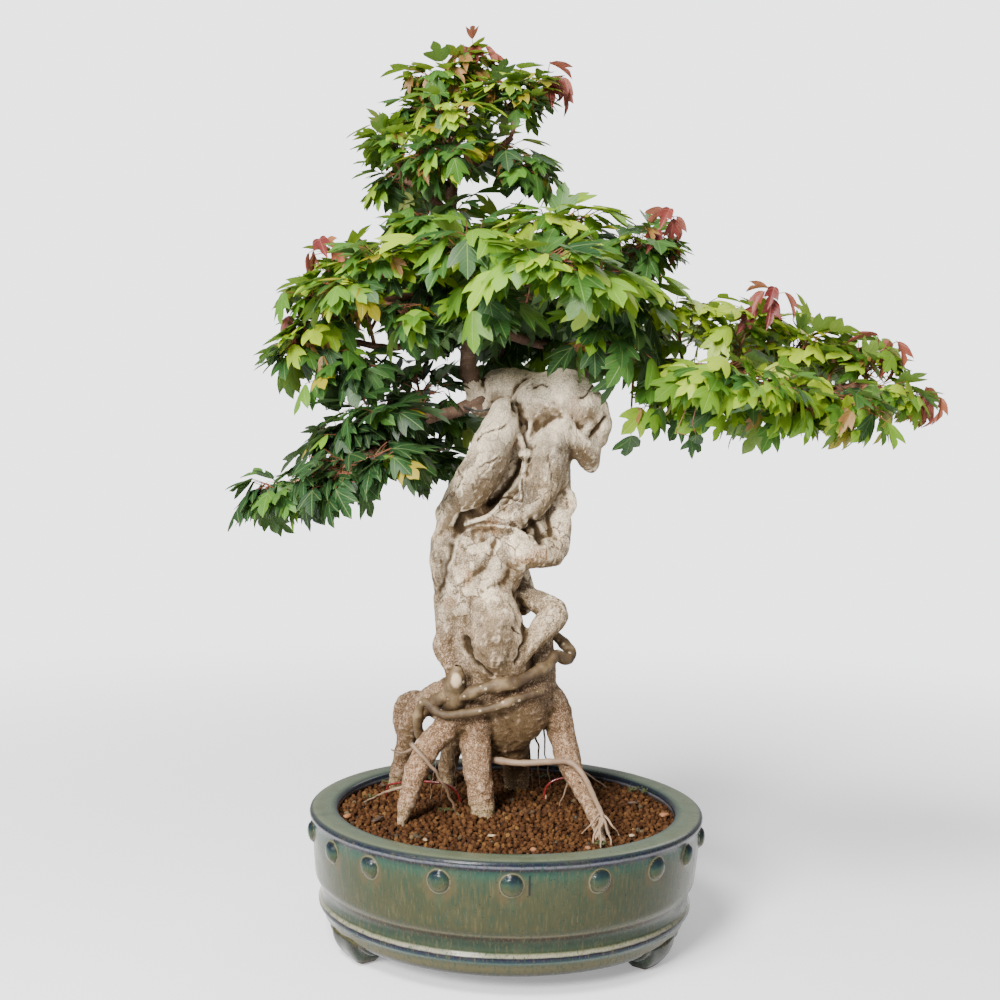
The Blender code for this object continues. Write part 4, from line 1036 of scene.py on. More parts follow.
def grownTogether(routes, voxel):
    # Tubes joined by a remesh
    heap = Heap()
    for route in routes:
        heap.add(*sweep(route, trunk["sides"], trunk["spacing"])[:2])
    obj = linked("growing", heap.mesh("growing"))
    remesh = obj.modifiers.new("together", "REMESH")
    remesh.mode = "VOXEL"
    remesh.voxel_size = voxel * mm
    smooth = obj.modifiers.new("smooth", "SMOOTH")
    smooth.factor = 0.5
    smooth.iterations = trunk["smoothing"]
    mesh = evaluatedMesh(obj)
    bpy.data.objects.remove(obj)
    return mesh


def pointsOf(mesh):
    places = np.empty(len(mesh.vertices) * 3)
    mesh.vertices.foreach_get("co", places)
    return (places.reshape(-1, 3) - np.array(potAxis)) / mm


def normalsOf(mesh):
    normals = np.empty(len(mesh.vertices) * 3, np.float32)
    mesh.vertices.foreach_get("normal", normals)
    return normals.reshape(-1, 3).astype(float)


def blurred(values, edges, counts, times):
    # Values averaged with their neighbours' along the edges
    values = values.copy()
    for _ in range(times):
        total = np.zeros_like(values)
        np.add.at(total, edges[:, 0], values[edges[:, 1]])
        np.add.at(total, edges[:, 1], values[edges[:, 0]])
        values = 0.5 * values + 0.5 * total / counts.reshape((-1,) + (1,) * (values.ndim - 1))
    return values


def awayFrom(places, line):
    # Distance to a line of points, in as many dimensions as they have
    best = np.full(len(places), 1e9)
    for a, b in zip(line, line[1:]):
        a, b = np.asarray(a, float), np.asarray(b, float)
        way = b - a
        share = np.clip(((places - a) @ way) / max(way @ way, 1e-9), 0, 1)
        best = np.minimum(best, np.linalg.norm(places - (a + share[:, None] * way), axis=1))
    return best


def softNoise(places, stretch, scale, seed, octaves=1, height=1.0):
    shift = Vector((seed, seed * 0.37, seed * 1.7))
    spots = [Vector(place) + shift for place in places * np.array(stretch) * scale]
    if octaves == 1:
        return height * np.array([noise.noise(spot) for spot in spots])
    return height * np.array([noise.fractal(spot, 1.0, 2.0, octaves) for spot in spots])


def carveBark(mesh):
    places, normals = pointsOf(mesh), normalsOf(mesh)
    edges = np.empty(len(mesh.edges) * 2, np.int64)
    mesh.edges.foreach_get("vertices", edges)
    edges = edges.reshape(-1, 2)
    counts = np.bincount(edges.ravel(), minlength=len(places)).astype(float)
    move = sum(softNoise(places, *swell) for swell in trunk["swells"])
    bottom, top = trunk["ringsFade"]
    move += softNoise(places, *trunk["rings"]) * (1 - np.clip((places[:, 2] - bottom) / (top - bottom), 0, 1))
    front = np.clip((0.35 - normals[:, 1]) / 0.3, 0, 1) * (places[:, 1] < trunk["frontY"])
    seen = places[:, [0, 2]]
    scale, seeds, reach = trunk["wander"]
    wandering = seen + np.stack([softNoise(places, (1, 1, 1), scale, seed) for seed in seeds], 1) * reach

    def nearTo(spots, line, width):
        return np.exp(-(awayFrom(spots, line) / width) ** 2) * front

    # Painted shade along the creases: dark in each crease (crack) and broad beside the deep ones (gloom); the
    # strokes add broad painted shade of their own
    crack, gloom = np.zeros(len(places)), np.zeros(len(places))
    for depth, width, *line in trunk["creases"]:
        near = nearTo(wandering, line, width)
        move -= 0.75 * depth * near
        crack = np.maximum(crack, near * min(1, depth / 2.4))
        gloom = np.maximum(gloom, nearTo(seen, line, 3 * width) * min(1, depth / 4))
    for strength, width, *line in trunk["paintedShadeStrokes"]:
        gloom = np.maximum(gloom, nearTo(wandering, line, width) * strength)
    places = places + normals * move[:, None]
    mesh.vertices.foreach_set("co", (places * mm + np.array(potAxis)).ravel())
    mesh.update()
    normals = normalsOf(mesh)
    around, done = places, 0
    for name, (times, full) in trunk["hollows"].items():
        around = blurred(around, edges, counts, times - done)
        done = times
        setValues(mesh, name, np.clip(((around - places) * normals).sum(axis=1) / full, -1, 1))
    setValues(mesh, "crack", crack)
    setValues(mesh, "gloom", gloom)
    # Downward faces, which the bark's colour darkens as painted shade
    setValues(mesh, "under", np.clip(0.15 - blurred(normals, edges, counts, 6)[:, 2], 0, 1))
    loop = np.array(thickLimbs["loop"], float)[:, :3]
    radius, fade = trunk["ropeReach"]
    setValues(mesh, "rope", np.clip(1 - (awayFrom(places, loop) - radius) / fade, 0, 1))
    mesh.polygons.foreach_set("use_smooth", [True] * len(mesh.polygons))
    mesh.update()
    return mesh


bark = {
    "fixed": {"Roughness": 0.85, "Specular IOR Level": 0.15},
    "stored": ("rope", "wideHollow", "under", "gloom", "hollow", "fineHollow", "crack"),
    "noises": {"patches": (24.0, 4.0, 0.6), "slate": (34.0, 3.0, 0.5, 0.8), "mottle": (110.0, 3.0, 0.6),
               "flaking": (19.0, 2.0), "rust": (38.0,), "stipple": (1000.0, 2.0, 0.6)},
    # Scale, detail and reach of the drift that bends two sets of cells, and the scale of those
    "flakeCells": (48.0, 3.0, 0.016, 75.0), "webCells": (90.0, 2.0, 0.010, 430.0),
    "products": {
        "low": [("height", 0.29, 0.2)],
        "onPatch": [("flaking", 0.46, 0.5), ("height", 0.215, 0.235)],
        "flake": [("flakeTone", 0.54, 0.56), ("onPatch", 1)],
        "flakeLine": [("flakeEdge", 0.06, 0.02), ("onPatch", 1), ("mottle", 0.45, 0.55)],
        "groove": [("web", 0.12, 0.02), ("height", 0.29, 0.2, 0.25, 0.45)],
        "Roughness": [("stipple", 0.3, 0.7, 0.7, 0.9)]},
    "shades": {
        "ropeShade": ("patches", (0.13, 0.08, 0.042), (0.36, 0.27, 0.165)),
        "poreShade": ("low", (0.11, 0.068, 0.036), (0.05, 0.026, 0.013)),
        "dotShade": ("low", (0.92, 0.76, 0.56), (0.58, 0.41, 0.28)),
        "gloomShade": ("slate", (0.085, 0.045, 0.014), (0.075, 0.06, 0.04)),
        "edgeShade": ("low", (0.90, 0.76, 0.55), (0.50, 0.35, 0.23))},
    "ground": ("patches", [(0.36, (0.14, 0.11, 0.075)), (0.46, (0.38, 0.295, 0.195)),
                           (0.56, (0.86, 0.67, 0.45))]),
    "layers": [
        ((0.20, 0.178, 0.15), ("slate", 0.52, 0.58, 0, 0.65)),
        ((0.12, 0.075, 0.038), ("mottle", 0.5, 0.36, 0, 0.6)),
        # Thin cream flakes with dark edges on the upper trunk
        ((0.97, 0.80, 0.57), ("flake", 0.8)),
        ((0.07, 0.04, 0.018), ("flakeLine", 0.8)),
        ((0.34, 0.155, 0.06), ("rust", 0.6, 0.7, 0, 0.6)),
        # The base is brown, the head pale from its bark and from painted light, the root ends pinkish,
        # painted shade behind the front roots, with a green tint at the soil
        ((0.17, 0.105, 0.06), ("height", 0.285, 0.23), ("patches", 0.62, 0.4, 0.55, 0.95)),
        ((0.14, 0.075, 0.034), ("height", 0.222, 0.195, 0, 0.6)),
        ((0.97, 0.82, 0.61), ("height", 0.36, 0.42), ("patches", 0.3, 0.6, 0.35, 0.85)),
        ((0.27, 0.15, 0.08), ("height", 0.19, 0.15, 0, 0.7)),
        ((0.12, 0.07, 0.038), ("depth", 0.02, 0.045), ("height", 0.21, 0.18, 0, 0.8)),
        ((0.16, 0.15, 0.05), ("height", 0.118, 0.104), ("patches", 0.35, 0.6, 0, 0.6)),
        ("ropeShade", ("rope", 0.75)),
        # Stipple of dark pores and pale dots, and fine meandering wrinkles, strongest low down
        ("poreShade", ("stipple", 0.5, 0.41), ("height", 0.29, 0.2, 0.55, 0.6),
         ("height", 0.36, 0.41, 1, 0.45)),
        ("dotShade", ("stipple", 0.53, 0.61), ("height", 0.29, 0.2, 0.4, 0.5)),
        ((0.06, 0.034, 0.017), ("groove", 1)),
        # Painted shade: hollows, undersides, broad bands by creases and the crease bottoms are dark and
        # olive; painted highlights make broad bulges and edges pale
        ((0.80, 0.66, 0.47), ("wideHollow", -0.4, -1.0, 0, 0.3)),
        ((0.115, 0.073, 0.03), ("wideHollow", -0.05, 0.55, 0, 0.85)),
        ((0.13, 0.08, 0.034), ("under", 0.1, 0.75, 0, 0.85)),
        ("gloomShade", ("gloom", 1), ("patches", 0.36, 0.62, 1.0, 0.75)),
        ((0.035, 0.021, 0.008), ("hollow", 0.0, 0.7, 0, 0.95)),
        ((0.06, 0.035, 0.015), ("fineHollow", 0.12, 0.7, 0, 0.8)),
        ("edgeShade", ("fineHollow", -0.2, -0.8, 0, 0.6)),
        ((0.03, 0.018, 0.008), ("crack", 0.9))],
    "relief": (0.0016, 0.9, {"mottle": 2.2, "stipple": 0.6, "groove": -0.8, "flake": 0.6, "flakeLine": -0.6}),
}
branchLooks = {
    "fixed": {"Roughness": 0.7}, "stored": ("along", "thickness"),
    "noises": {"patches": (60.0, 4.0)}, "grains": {"grain": (700.0, 0.5)},
    "specks": {"dots": (700.0, 0.3, 0.25)},
    "shades": {"old": ("patches", (0.055, 0.03, 0.018), (0.19, 0.11, 0.065))},
    "ground": ("patches", [(0, (0.07, 0.028, 0.016)), (1, (0.17, 0.075, 0.042))]),
    "layers": [("old", ("thickness", 2.0, 6.0)),
               ((0.24, 0.16, 0.10), ("rings", 0.62, 0.8, 0, 0.35)),
               ((0.38, 0.28, 0.19), ("dots", 0.5))],
    "relief": (0.0006, 0.7, {"grain": 1, "rings": 1}),
}


def driftedCells(place, scale, detail, reach, cells):
    # The place bent by a noise, and the scale of the cells that are read there
    drift = noiseOf(place, scale, detail, 0.5, output="Color")
    swayed = made(place.tree, "ShaderNodeVectorMath", 0, {0: drift, 3: reach}, operation="SCALE")
    return made(place.tree, "ShaderNodeVectorMath", 0, {0: place, 1: swayed}, operation="ADD"), cells


def barkMasks(tree, place, masks):
    _, masks["depth"], masks["height"] = partsOf(place)
    flakes = driftedCells(place, *bark["flakeCells"])
    masks["flakeTone"] = cellsOf(*flakes, output="Color")
    masks["flakeEdge"] = cellsOf(*flakes, "DISTANCE_TO_EDGE")
    masks["web"] = cellsOf(*driftedCells(place, *bark["webCells"]), "DISTANCE_TO_EDGE")


def branchMasks(tree, place, masks):
    masks["rings"] = made(tree, "ShaderNodeTexNoise", "Fac", {
        "W": masks["along"] * 0.55, "Scale": 1.0, "Detail": 1.0}, noise_dimensions="1D")


swellings = {
    # Where leaves once grew: first place, gaps, the last place, height and half width
    "first": (6, 14), "gap": (12, 26), "last": 400, "height": 0.16, "halfWidth": 2.2,
    "slow": (0.05, 0.21),
}


def nodeRings(seed):
    draw = random.Random(seed)
    spots = [draw.uniform(*swellings["first"])]
    while spots[-1] < swellings["last"]:
        spots.append(spots[-1] + draw.uniform(*swellings["gap"]))
    height, pace = swellings["slow"]

    def swell(ways):
        share = np.ones(len(ways))
        for spot in spots:
            share += swellings["height"] * np.exp(-((ways - spot) / swellings["halfWidth"]) ** 2)
        return share * (1 + height * np.sin(ways * pace + seed))

    return swell


def foldRoutes(mesh):
    # Each fold follows the front of the bark at its own x and z
    surface = BVHTree.FromPolygons([tuple(place) for place in pointsOf(mesh)],
                                   [tuple(face.vertices) for face in mesh.polygons])
    routes = []
    for radius, out, *line in trunk["folds"]:
        route = []
        for number, (x, z) in enumerate(line):
            hit = surface.ray_cast(Vector((x, -200, z)), Vector((0, 1, 0)))[0]
            if hit is not None:
                size = radius * (0.7 if number in (0, len(line) - 1) else 1.0)
                route.append((x, hit.y + size * (1 - out), z, size))
        if len(route) > 1:
            routes.append(rounded(route))
    return routes


def makeTrunk():
    routes = [rounded(route) for name, route in thickLimbs.items() if name not in trunk["loose"]]
    routes += trunk["fillers"]
    for name, most in trunk["collars"].items():
        scales = np.linspace(*trunk["collarScale"], most)
        routes.append(rounded([(x, y, z, radius * scale)
                               for (x, y, z, radius), scale in zip(thinLimbs[name], scales)]))
    routes += foldRoutes(grownTogether(routes, trunk["roughVoxel"]))
    mesh = carveBark(grownTogether(routes, trunk["voxel"]))
    print("trunk", len(mesh.polygons), "faces")
    addPiece("trunkBark", mesh, makeMaterial("flakingBark", bark, barkMasks)[:1], ["trunk"])
    heap = Heap()
    for seed, route in enumerate(thinLimbs.values()):
        points, faces, along = sweep(rounded(route), trunk["fineSides"], trunk["fineSpacing"],
                                     nodeRings(seed))
        path = np.array(route, float)
        thick = np.interp(along, np.linspace(0, along.max(), len(path)), path[:, 3])
        heap.add(points, faces, along=along, thickness=thick)
    branchBark = makeMaterial("branchBark", branchLooks, branchMasks)[0]
    addPiece("branches", heap.mesh("branches"), [branchBark], ["trunk"])


ropes = {
    "looks": {
        "fixed": {"Roughness": 0.6, "Specular IOR Level": 0.3}, "stored": ("cut",),
        "noises": {"patch": (55.0, 4.0, 0.6)}, "grains": {"grain": (500.0, 0.4)},
        "specks": {"spots": (230.0, 0.2, 0.28)},
        "ground": ("patch", [(0.36, (0.035, 0.019, 0.008)), (0.5, (0.08, 0.051, 0.023)),
                             (0.62, (0.17, 0.115, 0.06))]),
        "layers": [((0.42, 0.34, 0.23), ("spots", 0.7)), ((0.46, 0.34, 0.21), ("cut", 1))],
        "relief": (0.0008, 0.6, {"grain": 1, "patch": 1})},
    "rootletLooks": {
        "fixed": {"Roughness": 0.6}, "stored": ("pale",), "noises": {"patch": (140.0,)},
        "ground": ("patch", [(0, (0.055, 0.027, 0.014)), (1, (0.16, 0.085, 0.045))]),
        "shades": {"paleShade": ("patch", (0.30, 0.19, 0.11), (0.50, 0.38, 0.26))},
        "layers": [("paleShade", ("pale", 1))],
        "relief": (0.0006, 0.6, {"patch": 1})},
    "stub": [(-44, -20, 188, 11), (-42.5, -32, 200, 9.5), (-41, -39, 211, 8.2), (-40.5, -41, 218, 5)],
    "thin_root": [(-14, -12, 142, 2.8), (10, -18, 141, 2.6), (34, -20, 143, 2.5), (50, -18, 142, 2.3),
                  (60, -26, 134, 2.2), (67, -48, 123, 2), (72, -67, 115, 1.8), (77, -76, 102, 1.5)],
    # The stub's sawn face: its middle in x and z, its half sizes, and how far forward it starts
    "cutFace": ((-41, 211), (4, 6), -38),
    # Fine roots sway this far. Start radius, paleness, then x, y and z along each
    "sway": 1.1,
    "rootlets": [
        (2.0, 0.3, (-75, -46, 162), (-64, -48, 150), (-52, -42, 133), (-39, -22, 101)),
        (1.5, 0.2, (-73, -40, 157), (-80, -28, 150), (-88, 2, 143), (-95, 32, 138)),
        (1.4, 0.3, (-79, -49, 128), (-94, -38, 121), (-114, 5, 101)),
        (0.5, 1.0, (-53, -12, 163), (-51, -4, 138), (-53, 12, 101)),
        (0.5, 1.0, (-49, -12, 163), (-46, -2, 140), (-46, 26, 101)),
        (0.4, 1.0, (-55, -10, 160), (-58, -2, 133), (-62, 17, 101)),
        (0.5, 1.0, (-46, -10, 160), (-42, 2, 137), (-42, 36, 101)),
        (1.0, 0.0, (16, 28, 158), (20, 38, 135), (22, 60, 101)),
        (1.1, 0.0, (23, 30, 160), (26, 40, 136), (29, 62, 101)),
        (0.8, 0.0, (11, 34, 155), (12, 46, 132), (10, 66, 101)),
        (0.9, 0.0, (30, 34, 158), (32, 46, 134), (38, 60, 101)),
        (1.5, 0.4, (71, -74, 113), (67, -86, 108), (64, -97, 101)),
        (1.3, 0.5, (72, -74, 113), (70, -90, 107), (69, -106, 100)),
        (1.2, 0.4, (72, -74, 114), (76, -88, 108), (77, -101, 101)),
        (1.0, 0.5, (73, -72, 116), (80, -78, 109), (85, -74, 101)),
        (1.0, 0.4, (70, -68, 115), (62, -76, 109), (57, -72, 101)),
        (1.1, 0.3, (57, -26, 129), (61, -26, 117), (65, -20, 101)),
        (1.0, 0.3, (49, -10, 130), (46, -8, 116), (43, -2, 101)),
        (0.9, 0.3, (60, 66, 118), (74, 72, 108), (86, 66, 101)),
        (0.9, 0.3, (-52, 66, 120), (-40, 78, 108), (-30, 88, 101))],
}


def makeRopes():
    heap = Heap()
    for seed, name in enumerate(("upper_rope", "lower_rope")):
        points, faces, along = sweep(rounded(thickLimbs[name]), trunk["fineSides"], trunk["fineSpacing"],
                                     nodeRings(70 + seed))
        heap.add(points, faces, cut=(along < 1.0) * float(seed))
    points, faces, _ = sweep(rounded(ropes["stub"]), 24, 1.2)
    (x, z), (wide, tall), front = ropes["cutFace"]
    face = ((points[:, 0] - x) / wide) ** 2 + ((points[:, 2] - z) / tall) ** 2
    heap.add(points, faces, cut=np.clip(2.2 - 2 * face, 0, 1) * (points[:, 1] < front))
    ropeBark = makeMaterial("aerialRoot", ropes["looks"])[0]
    addPiece("aerialRoots", heap.mesh("aerialRoots"), [ropeBark], ["trunk"])
    heap = Heap()
    heap.add(*sweep(ropes["thin_root"], 12, 2.0, nodeRings(81))[:2], pale=0.3)
    sway = ropes["sway"]
    for seed, (radius, pale, *line) in enumerate(ropes["rootlets"]):
        draw = random.Random(seed)
        route = [(*point, radius * (1 - 0.6 * number / (len(line) - 1))) for number, point in enumerate(line)]
        wavy = [(x + draw.uniform(-sway, sway), y + draw.uniform(-sway, sway), z, thick)
                for x, y, z, thick in evenPath(route, 6.0)[0]]
        wavy[0], wavy[-1] = route[0], route[-1]
        heap.add(*sweep(wavy, 7, 2.5)[:2], pale=pale)
    fineRoot = makeMaterial("fineRoot", ropes["rootletLooks"])[0]
    addPiece("fineRoots", heap.mesh("fineRoots"), [fineRoot])


makeTrunk()
makeRopes()
print("trunk made")


tieWires = {
    "routes": {
        "left": [(-98, 32, 90), (-98, 32, 106), (-90, 24, 112), (-68, 8, 118), (-48, 2, 117), (-38, 4, 107),
                 (-38, 4, 90)],
        "right": [(31, 12, 90), (31, 12, 109), (36, 10, 119), (48, 10, 123), (56, 7, 122), (63, -2, 117),
                  (70, -14, 107), (70, -14, 90)]},
    "radius": 0.9,
    "blackBit": [(-44, 24, 422), (-38, 12, 420), (-30, 4, 418), (-22, 2, 419), (-16, 6, 421)],
    "blackRadius": 0.7,
    "looks": {
        "fixed": {"Coat Weight": 0.4}, "noises": {"wear": (220.0, 4.0, 0.7)},
        "products": {"Roughness": [("wear", 0.5, 0.75, 0.25, 0.6)]},
        "ground": ("wear", [(0.35, (0.09, 0.006, 0.007)), (0.6, (0.16, 0.012, 0.011)),
                            (0.72, (0.08, 0.028, 0.016))]),
        "relief": (0.0003, 0.5, {"wear": 1})},
    "screenLooks": {
        "fixed": {"Roughness": 0.6}, "noises": {"weave": (500.0,)},
        "ground": ("weave", [(0, (0.012, 0.012, 0.012)), (1, (0.05, 0.048, 0.045))]),
        "relief": (0.0003, 0.5, {"weave": 1})},
}


def addWire(name, route, radius, sides, material, replaced=()):
    heap = Heap()
    heap.add(*sweep([(*point, radius) for point in route], sides, 1.5)[:2])
    addPiece(name, heap.mesh(name), [material], replaced)


def makeWires():
    black = makeMaterial("blackScreen", tieWires["screenLooks"])[0]
    for place in frame["nodes"]["drain_screen"].material_slots:
        place.material = black
    addWire("blackWireBit", tieWires["blackBit"], tieWires["blackRadius"], 10, black)
    enamel = makeMaterial("redEnamel", tieWires["looks"])[0]
    for side, route in tieWires["routes"].items():
        addWire("wire_" + side, route, tieWires["radius"], 12, enamel, ["tie_wire_" + side])


makeWires()
print("wires made")


litter = {
    # Size, place, stretch, and what it is: 0 dark wood, 0.5 orange stone, 1 pale chip
    "chips": [
        (12, (-99, -47, 102), (1.5, 0.5, 0.35), 0.0), (9, (-124, -34, 100), (1.1, 0.8, 0.6), 0.5),
        (9, (126, -11, 100), (1.2, 0.9, 0.6), 0.5), (7, (-11, -85, 102), (1.1, 0.9, 0.4), 1.0),
        (9, (32, 13, 104), (0.35, 0.3, 1.3), 1.0), (7, (60, -104, 100), (1.0, 0.8, 0.6), 0.45),
        (6, (-60, -96, 101), (1.2, 0.8, 0.5), 0.9), (8, (104, 20, 101), (1.3, 0.5, 0.4), 0.05),
        (6, (20, -112, 100), (1.0, 0.9, 0.7), 0.5), (7, (-20, 110, 100), (1.2, 0.8, 0.5), 0.6),
        (6, (95, -70, 100), (1.0, 0.8, 0.6), 1.0), (7, (-104, 60, 101), (1.2, 0.6, 0.5), 0.0)],
    # Place, reach and number of tufts
    "moss": [((-97, 67, 101), 9, 26), ((-48, -20, 102), 6, 16), ((112, 60, 101), 10, 30),
             ((-70, 84, 101), 8, 20), ((30, 100, 101), 9, 24), ((70, -96, 100.5), 5, 12),
             ((-112, 20, 100.5), 6, 14)],
    "mossSize": 2.4,
    "looks": {
        "fixed": {"Roughness": 0.75}, "stored": ("kind",), "grains": {"grain": (500.0, 0.5)},
        "ground": ("kind", [
            (0.0, (0.035, 0.018, 0.010)), (0.3, (0.10, 0.05, 0.025)), (0.5, (0.26, 0.10, 0.035)),
            (0.75, (0.24, 0.15, 0.075)), (1.0, (0.34, 0.26, 0.16))]),
        "layers": [((0.10, 0.06, 0.035), ("grain", 0.4, 0.65, 0, 0.4))],
        "relief": (0.0008, 0.7, {"grain": 1})},
    "mossLooks": {
        "fixed": {"Roughness": 0.9}, "noises": {"patch": (400.0,)},
        "ground": ("patch", [(0.3, (0.014, 0.017, 0.003)), (0.6, (0.040, 0.044, 0.006)),
                             (0.8, (0.09, 0.082, 0.013))]),
        "relief": (0.0012, 1.0, {"patch": 1})},
}


def makeLitter():
    draw = random.Random(21)
    heap = Heap()
    for number, (size, place, stretch, kind) in enumerate(litter["chips"]):
        points, faces = grainHull(60 + number, 22)
        turn = np.array(Matrix.Rotation(draw.uniform(0, 6.28), 3, "Z"))
        points = (np.array(points) * np.array(stretch) * size) @ turn.T + np.array(place)
        heap.add(points, faces, kind=kind)
    chips = makeMaterial("chipsAndStones", litter["looks"])[0]
    addPiece("chipsAndStones", heap.mesh("chipsAndStones"), [chips])
    heap = Heap()
    for place, reach, count in litter["moss"]:
        for _ in range(count):
            points, faces = grainHull(draw.randrange(10 ** 6), 12)
            away = reach * math.sqrt(draw.random())
            turn = draw.uniform(0, 6.28)
            shift = np.array((away * math.cos(turn), away * math.sin(turn), 1.6 - 0.12 * away))
            size = litter["mossSize"] * draw.uniform(0.6, 1.5)
            heap.add(np.array(points) * size + np.array(place) + shift, faces)
    addPiece("mossTufts", heap.mesh("mossTufts"), makeMaterial("moss", litter["mossLooks"])[:1])


makeLitter()
print("chips and moss made")


sprays = {
    "crown_top": ("leader", 1.0, [(-38, 0, 684), (-70, -12, 672)]),
    "crown_rear_left": ("leader", 0.9, [(-82, 12, 652), (-60, 52, 650)]),
    "crown_left": ("crown_left", 1.0, [(-100, -14, 620), (-92, 12, 594)]),
    "crown_front": ("crown_front", 1.0, [(-52, -58, 638), (-62, -60, 602)]),
    "crown_right": ("crown_right", 1.0, [(8, -12, 664), (-14, -26, 660)]),
    "crown_low_right": ("crown_right", 0.6, [(6, -25, 604)]),
    "crown_back": ("crown_back", 1.0, [(-30, 60, 628), (-80, 50, 614)]),
    "neck_front": ("leader", 0.62, [(-74, -45, 556), (-60, -42, 502)]),
    "left_tip": ("left_upper", 1.0, [(-158, -15, 502), (-152, -10, 478)]),
    "left_top": ("left_upper", 0.85, [(-132, -22, 526), (-128, 24, 522), (-98, 22, 506)]),
    "left_front": ("left_front", 1.0, [(-130, -76, 502), (-95, -95, 524), (-80, -62, 484)]),
    "left_droop": ("left_upper", 0.92, [(-178, -5, 458), (-130, -28, 446)]),
    "front_left": ("front_middle", 0.7, [(-42, -100, 532), (-28, -84, 492)]),
    "front": ("front_middle", 1.0, [(12, -134, 520), (48, -115, 514)]),
    "middle_top": ("right_upper", 0.5, [(30, -40, 561), (8, 26, 506)]),
    "middle_right": ("right_upper", 0.8, [(76, -60, 508), (70, -60, 470)]),
    "right_top": ("right_upper", 1.0, [(98, -24, 545), (88, 20, 545)]),
    "back_top": ("back_middle", 0.6, [(-15, 60, 562), (-38, 62, 500)]),
    "back": ("back_middle", 1.0, [(42, 106, 543), (0, 122, 494), (-14, 84, 462)]),
    "back_left": ("back_left", 1.0, [(-75, 88, 560), (-120, 95, 543), (-70, 72, 492)]),
    "back_right": ("middle_back", 1.0, [(98, 80, 484), (42, 92, 466)]),
    "low_left_inner": ("left_lower", 0.35, [(-72, -22, 406), (-80, 20, 444)]),
    "low_left_middle": ("left_lower", 0.7, [(-94, -42, 414), (-132, -18, 396)]),
    "low_left_tip": ("left_lower", 1.0, [(-196, -10, 346), (-158, -30, 352)]),
    "low_left_front": ("left_lower_front", 1.0, [(-136, -62, 364), (-88, -58, 376)]),
    "low_left_droop": ("left_lower", 0.5, [(-74, -20, 362)]),
    "low_left_back": ("left_lower_back", 1.0, [
        (-148, 85, 385), (-97, 82, 416), (-58, 60, 408), (-62, 48, 374)]),
    "right_inner": ("right_long", 0.28, [(98, -32, 438), (90, -28, 424)]),
    "right_upper": ("right_long", 0.45, [(128, -12, 496)]),
    "right_front": ("right_front", 1.0, [(184, -74, 440), (138, -68, 444)]),
    "right_middle": ("right_long", 0.6, [(182, -18, 490), (148, -24, 426)]),
    "right_outer": ("right_long", 0.76, [(225, 2, 478), (200, -38, 420)]),
    "right_far": ("right_long", 0.9, [(242, -36, 426), (262, 30, 468)]),
    "right_tip": ("right_long", 1.0, [(306, -5, 434), (276, 0, 460), (262, -24, 422)]),
    "right_back": ("right_back", 1.0, [(234, 68, 456), (177, 62, 478)]),
}
redShoots = {
    "apex": ("crown_top", 0, (-38, -3, 697)),
    "crown": ("crown_right", 0, (27, -14, 676)),
    "left_top": ("left_top", 0, (-150, -28, 541)),
    "left_tip": ("left_tip", 1, (-171, -14, 484)),
    "middle": ("right_top", 0, (116, -36, 569)),
    "right_middle": ("right_middle", 0, (194, -34, 512)),
    "right_outer": ("right_tip", 1, (292, 2, 474)),
    "right_end": ("right_tip", 0, (326, -8, 434)),
}
leafKinds = {
    # Blade lengths, then shades from mature to young, the veins', the underside's and the light's through it
    "green": {
        "length": (23, 34),
        "shades": [(0.007, 0.030, 0.009), (0.020, 0.074, 0.016), (0.052, 0.15, 0.014), (0.15, 0.29, 0.014),
                   (0.32, 0.43, 0.016)],
        "vein": (0.26, 0.36, 0.10), "under": (0.09, 0.16, 0.06), "glow": (0.35, 0.55, 0.02)},
    "red": {
        "length": (19, 31),
        "shades": [(0.12, 0.018, 0.018), (0.17, 0.035, 0.026), (0.22, 0.07, 0.035), (0.28, 0.14, 0.045),
                   (0.34, 0.26, 0.06)],
        "vein": (0.46, 0.17, 0.12), "under": (0.36, 0.13, 0.10), "glow": (0.6, 0.18, 0.06)},
}


leafShapes = {
    # Points of a blade of length 1, across and along it
    "middle": [(0, 0), (0, 0.21), (0, 0.41), (0, 0.58), (0, 0.78), (0, 0.92), (0, 1.04)],
    "side": [(0.125, 0.25), (0.235, 0.405), (0.345, 0.56), (0.485, 0.745)],
    "edge": [(0.105, 0.02), (0.235, 0.11), (0.345, 0.25), (0.425, 0.41), (0.475, 0.59)],
    "inner": [(0.385, 0.68), (0.27, 0.625), (0.165, 0.575)],
    "lobe": [(0.205, 0.69), (0.185, 0.81), (0.09, 0.925)],
    # Stalk's length, tilt in degrees, fold, curl, narrowness and seed of each shape
    "green": [(0.36, 12, 0.16, 0.25, 1.0, 0), (0.43, 38, -0.12, 0.75, 1.0, 1), (0.50, 24, 0.28, 0.55, 1.0, 2),
              (0.57, 52, 0.02, 0.35, 1.0, 3), (0.64, 16, 0.2, 0.85, 1.0, 4), (0.71, 32, -0.2, 0.65, 1.0, 5),
              (0.78, 68, 0.1, 0.45, 1.0, 6), (0.85, 26, 0.34, 0.25, 1.0, 7)],
    "red": [(0.55, 55, 0.75, 0.9, 0.62, 40), (0.55, 67, 0.75, 0.9, 0.62, 41),
            (0.55, 79, 0.75, 0.9, 0.62, 42)],
    "veinDepth": 0.016, "stalkRings": 4,
}


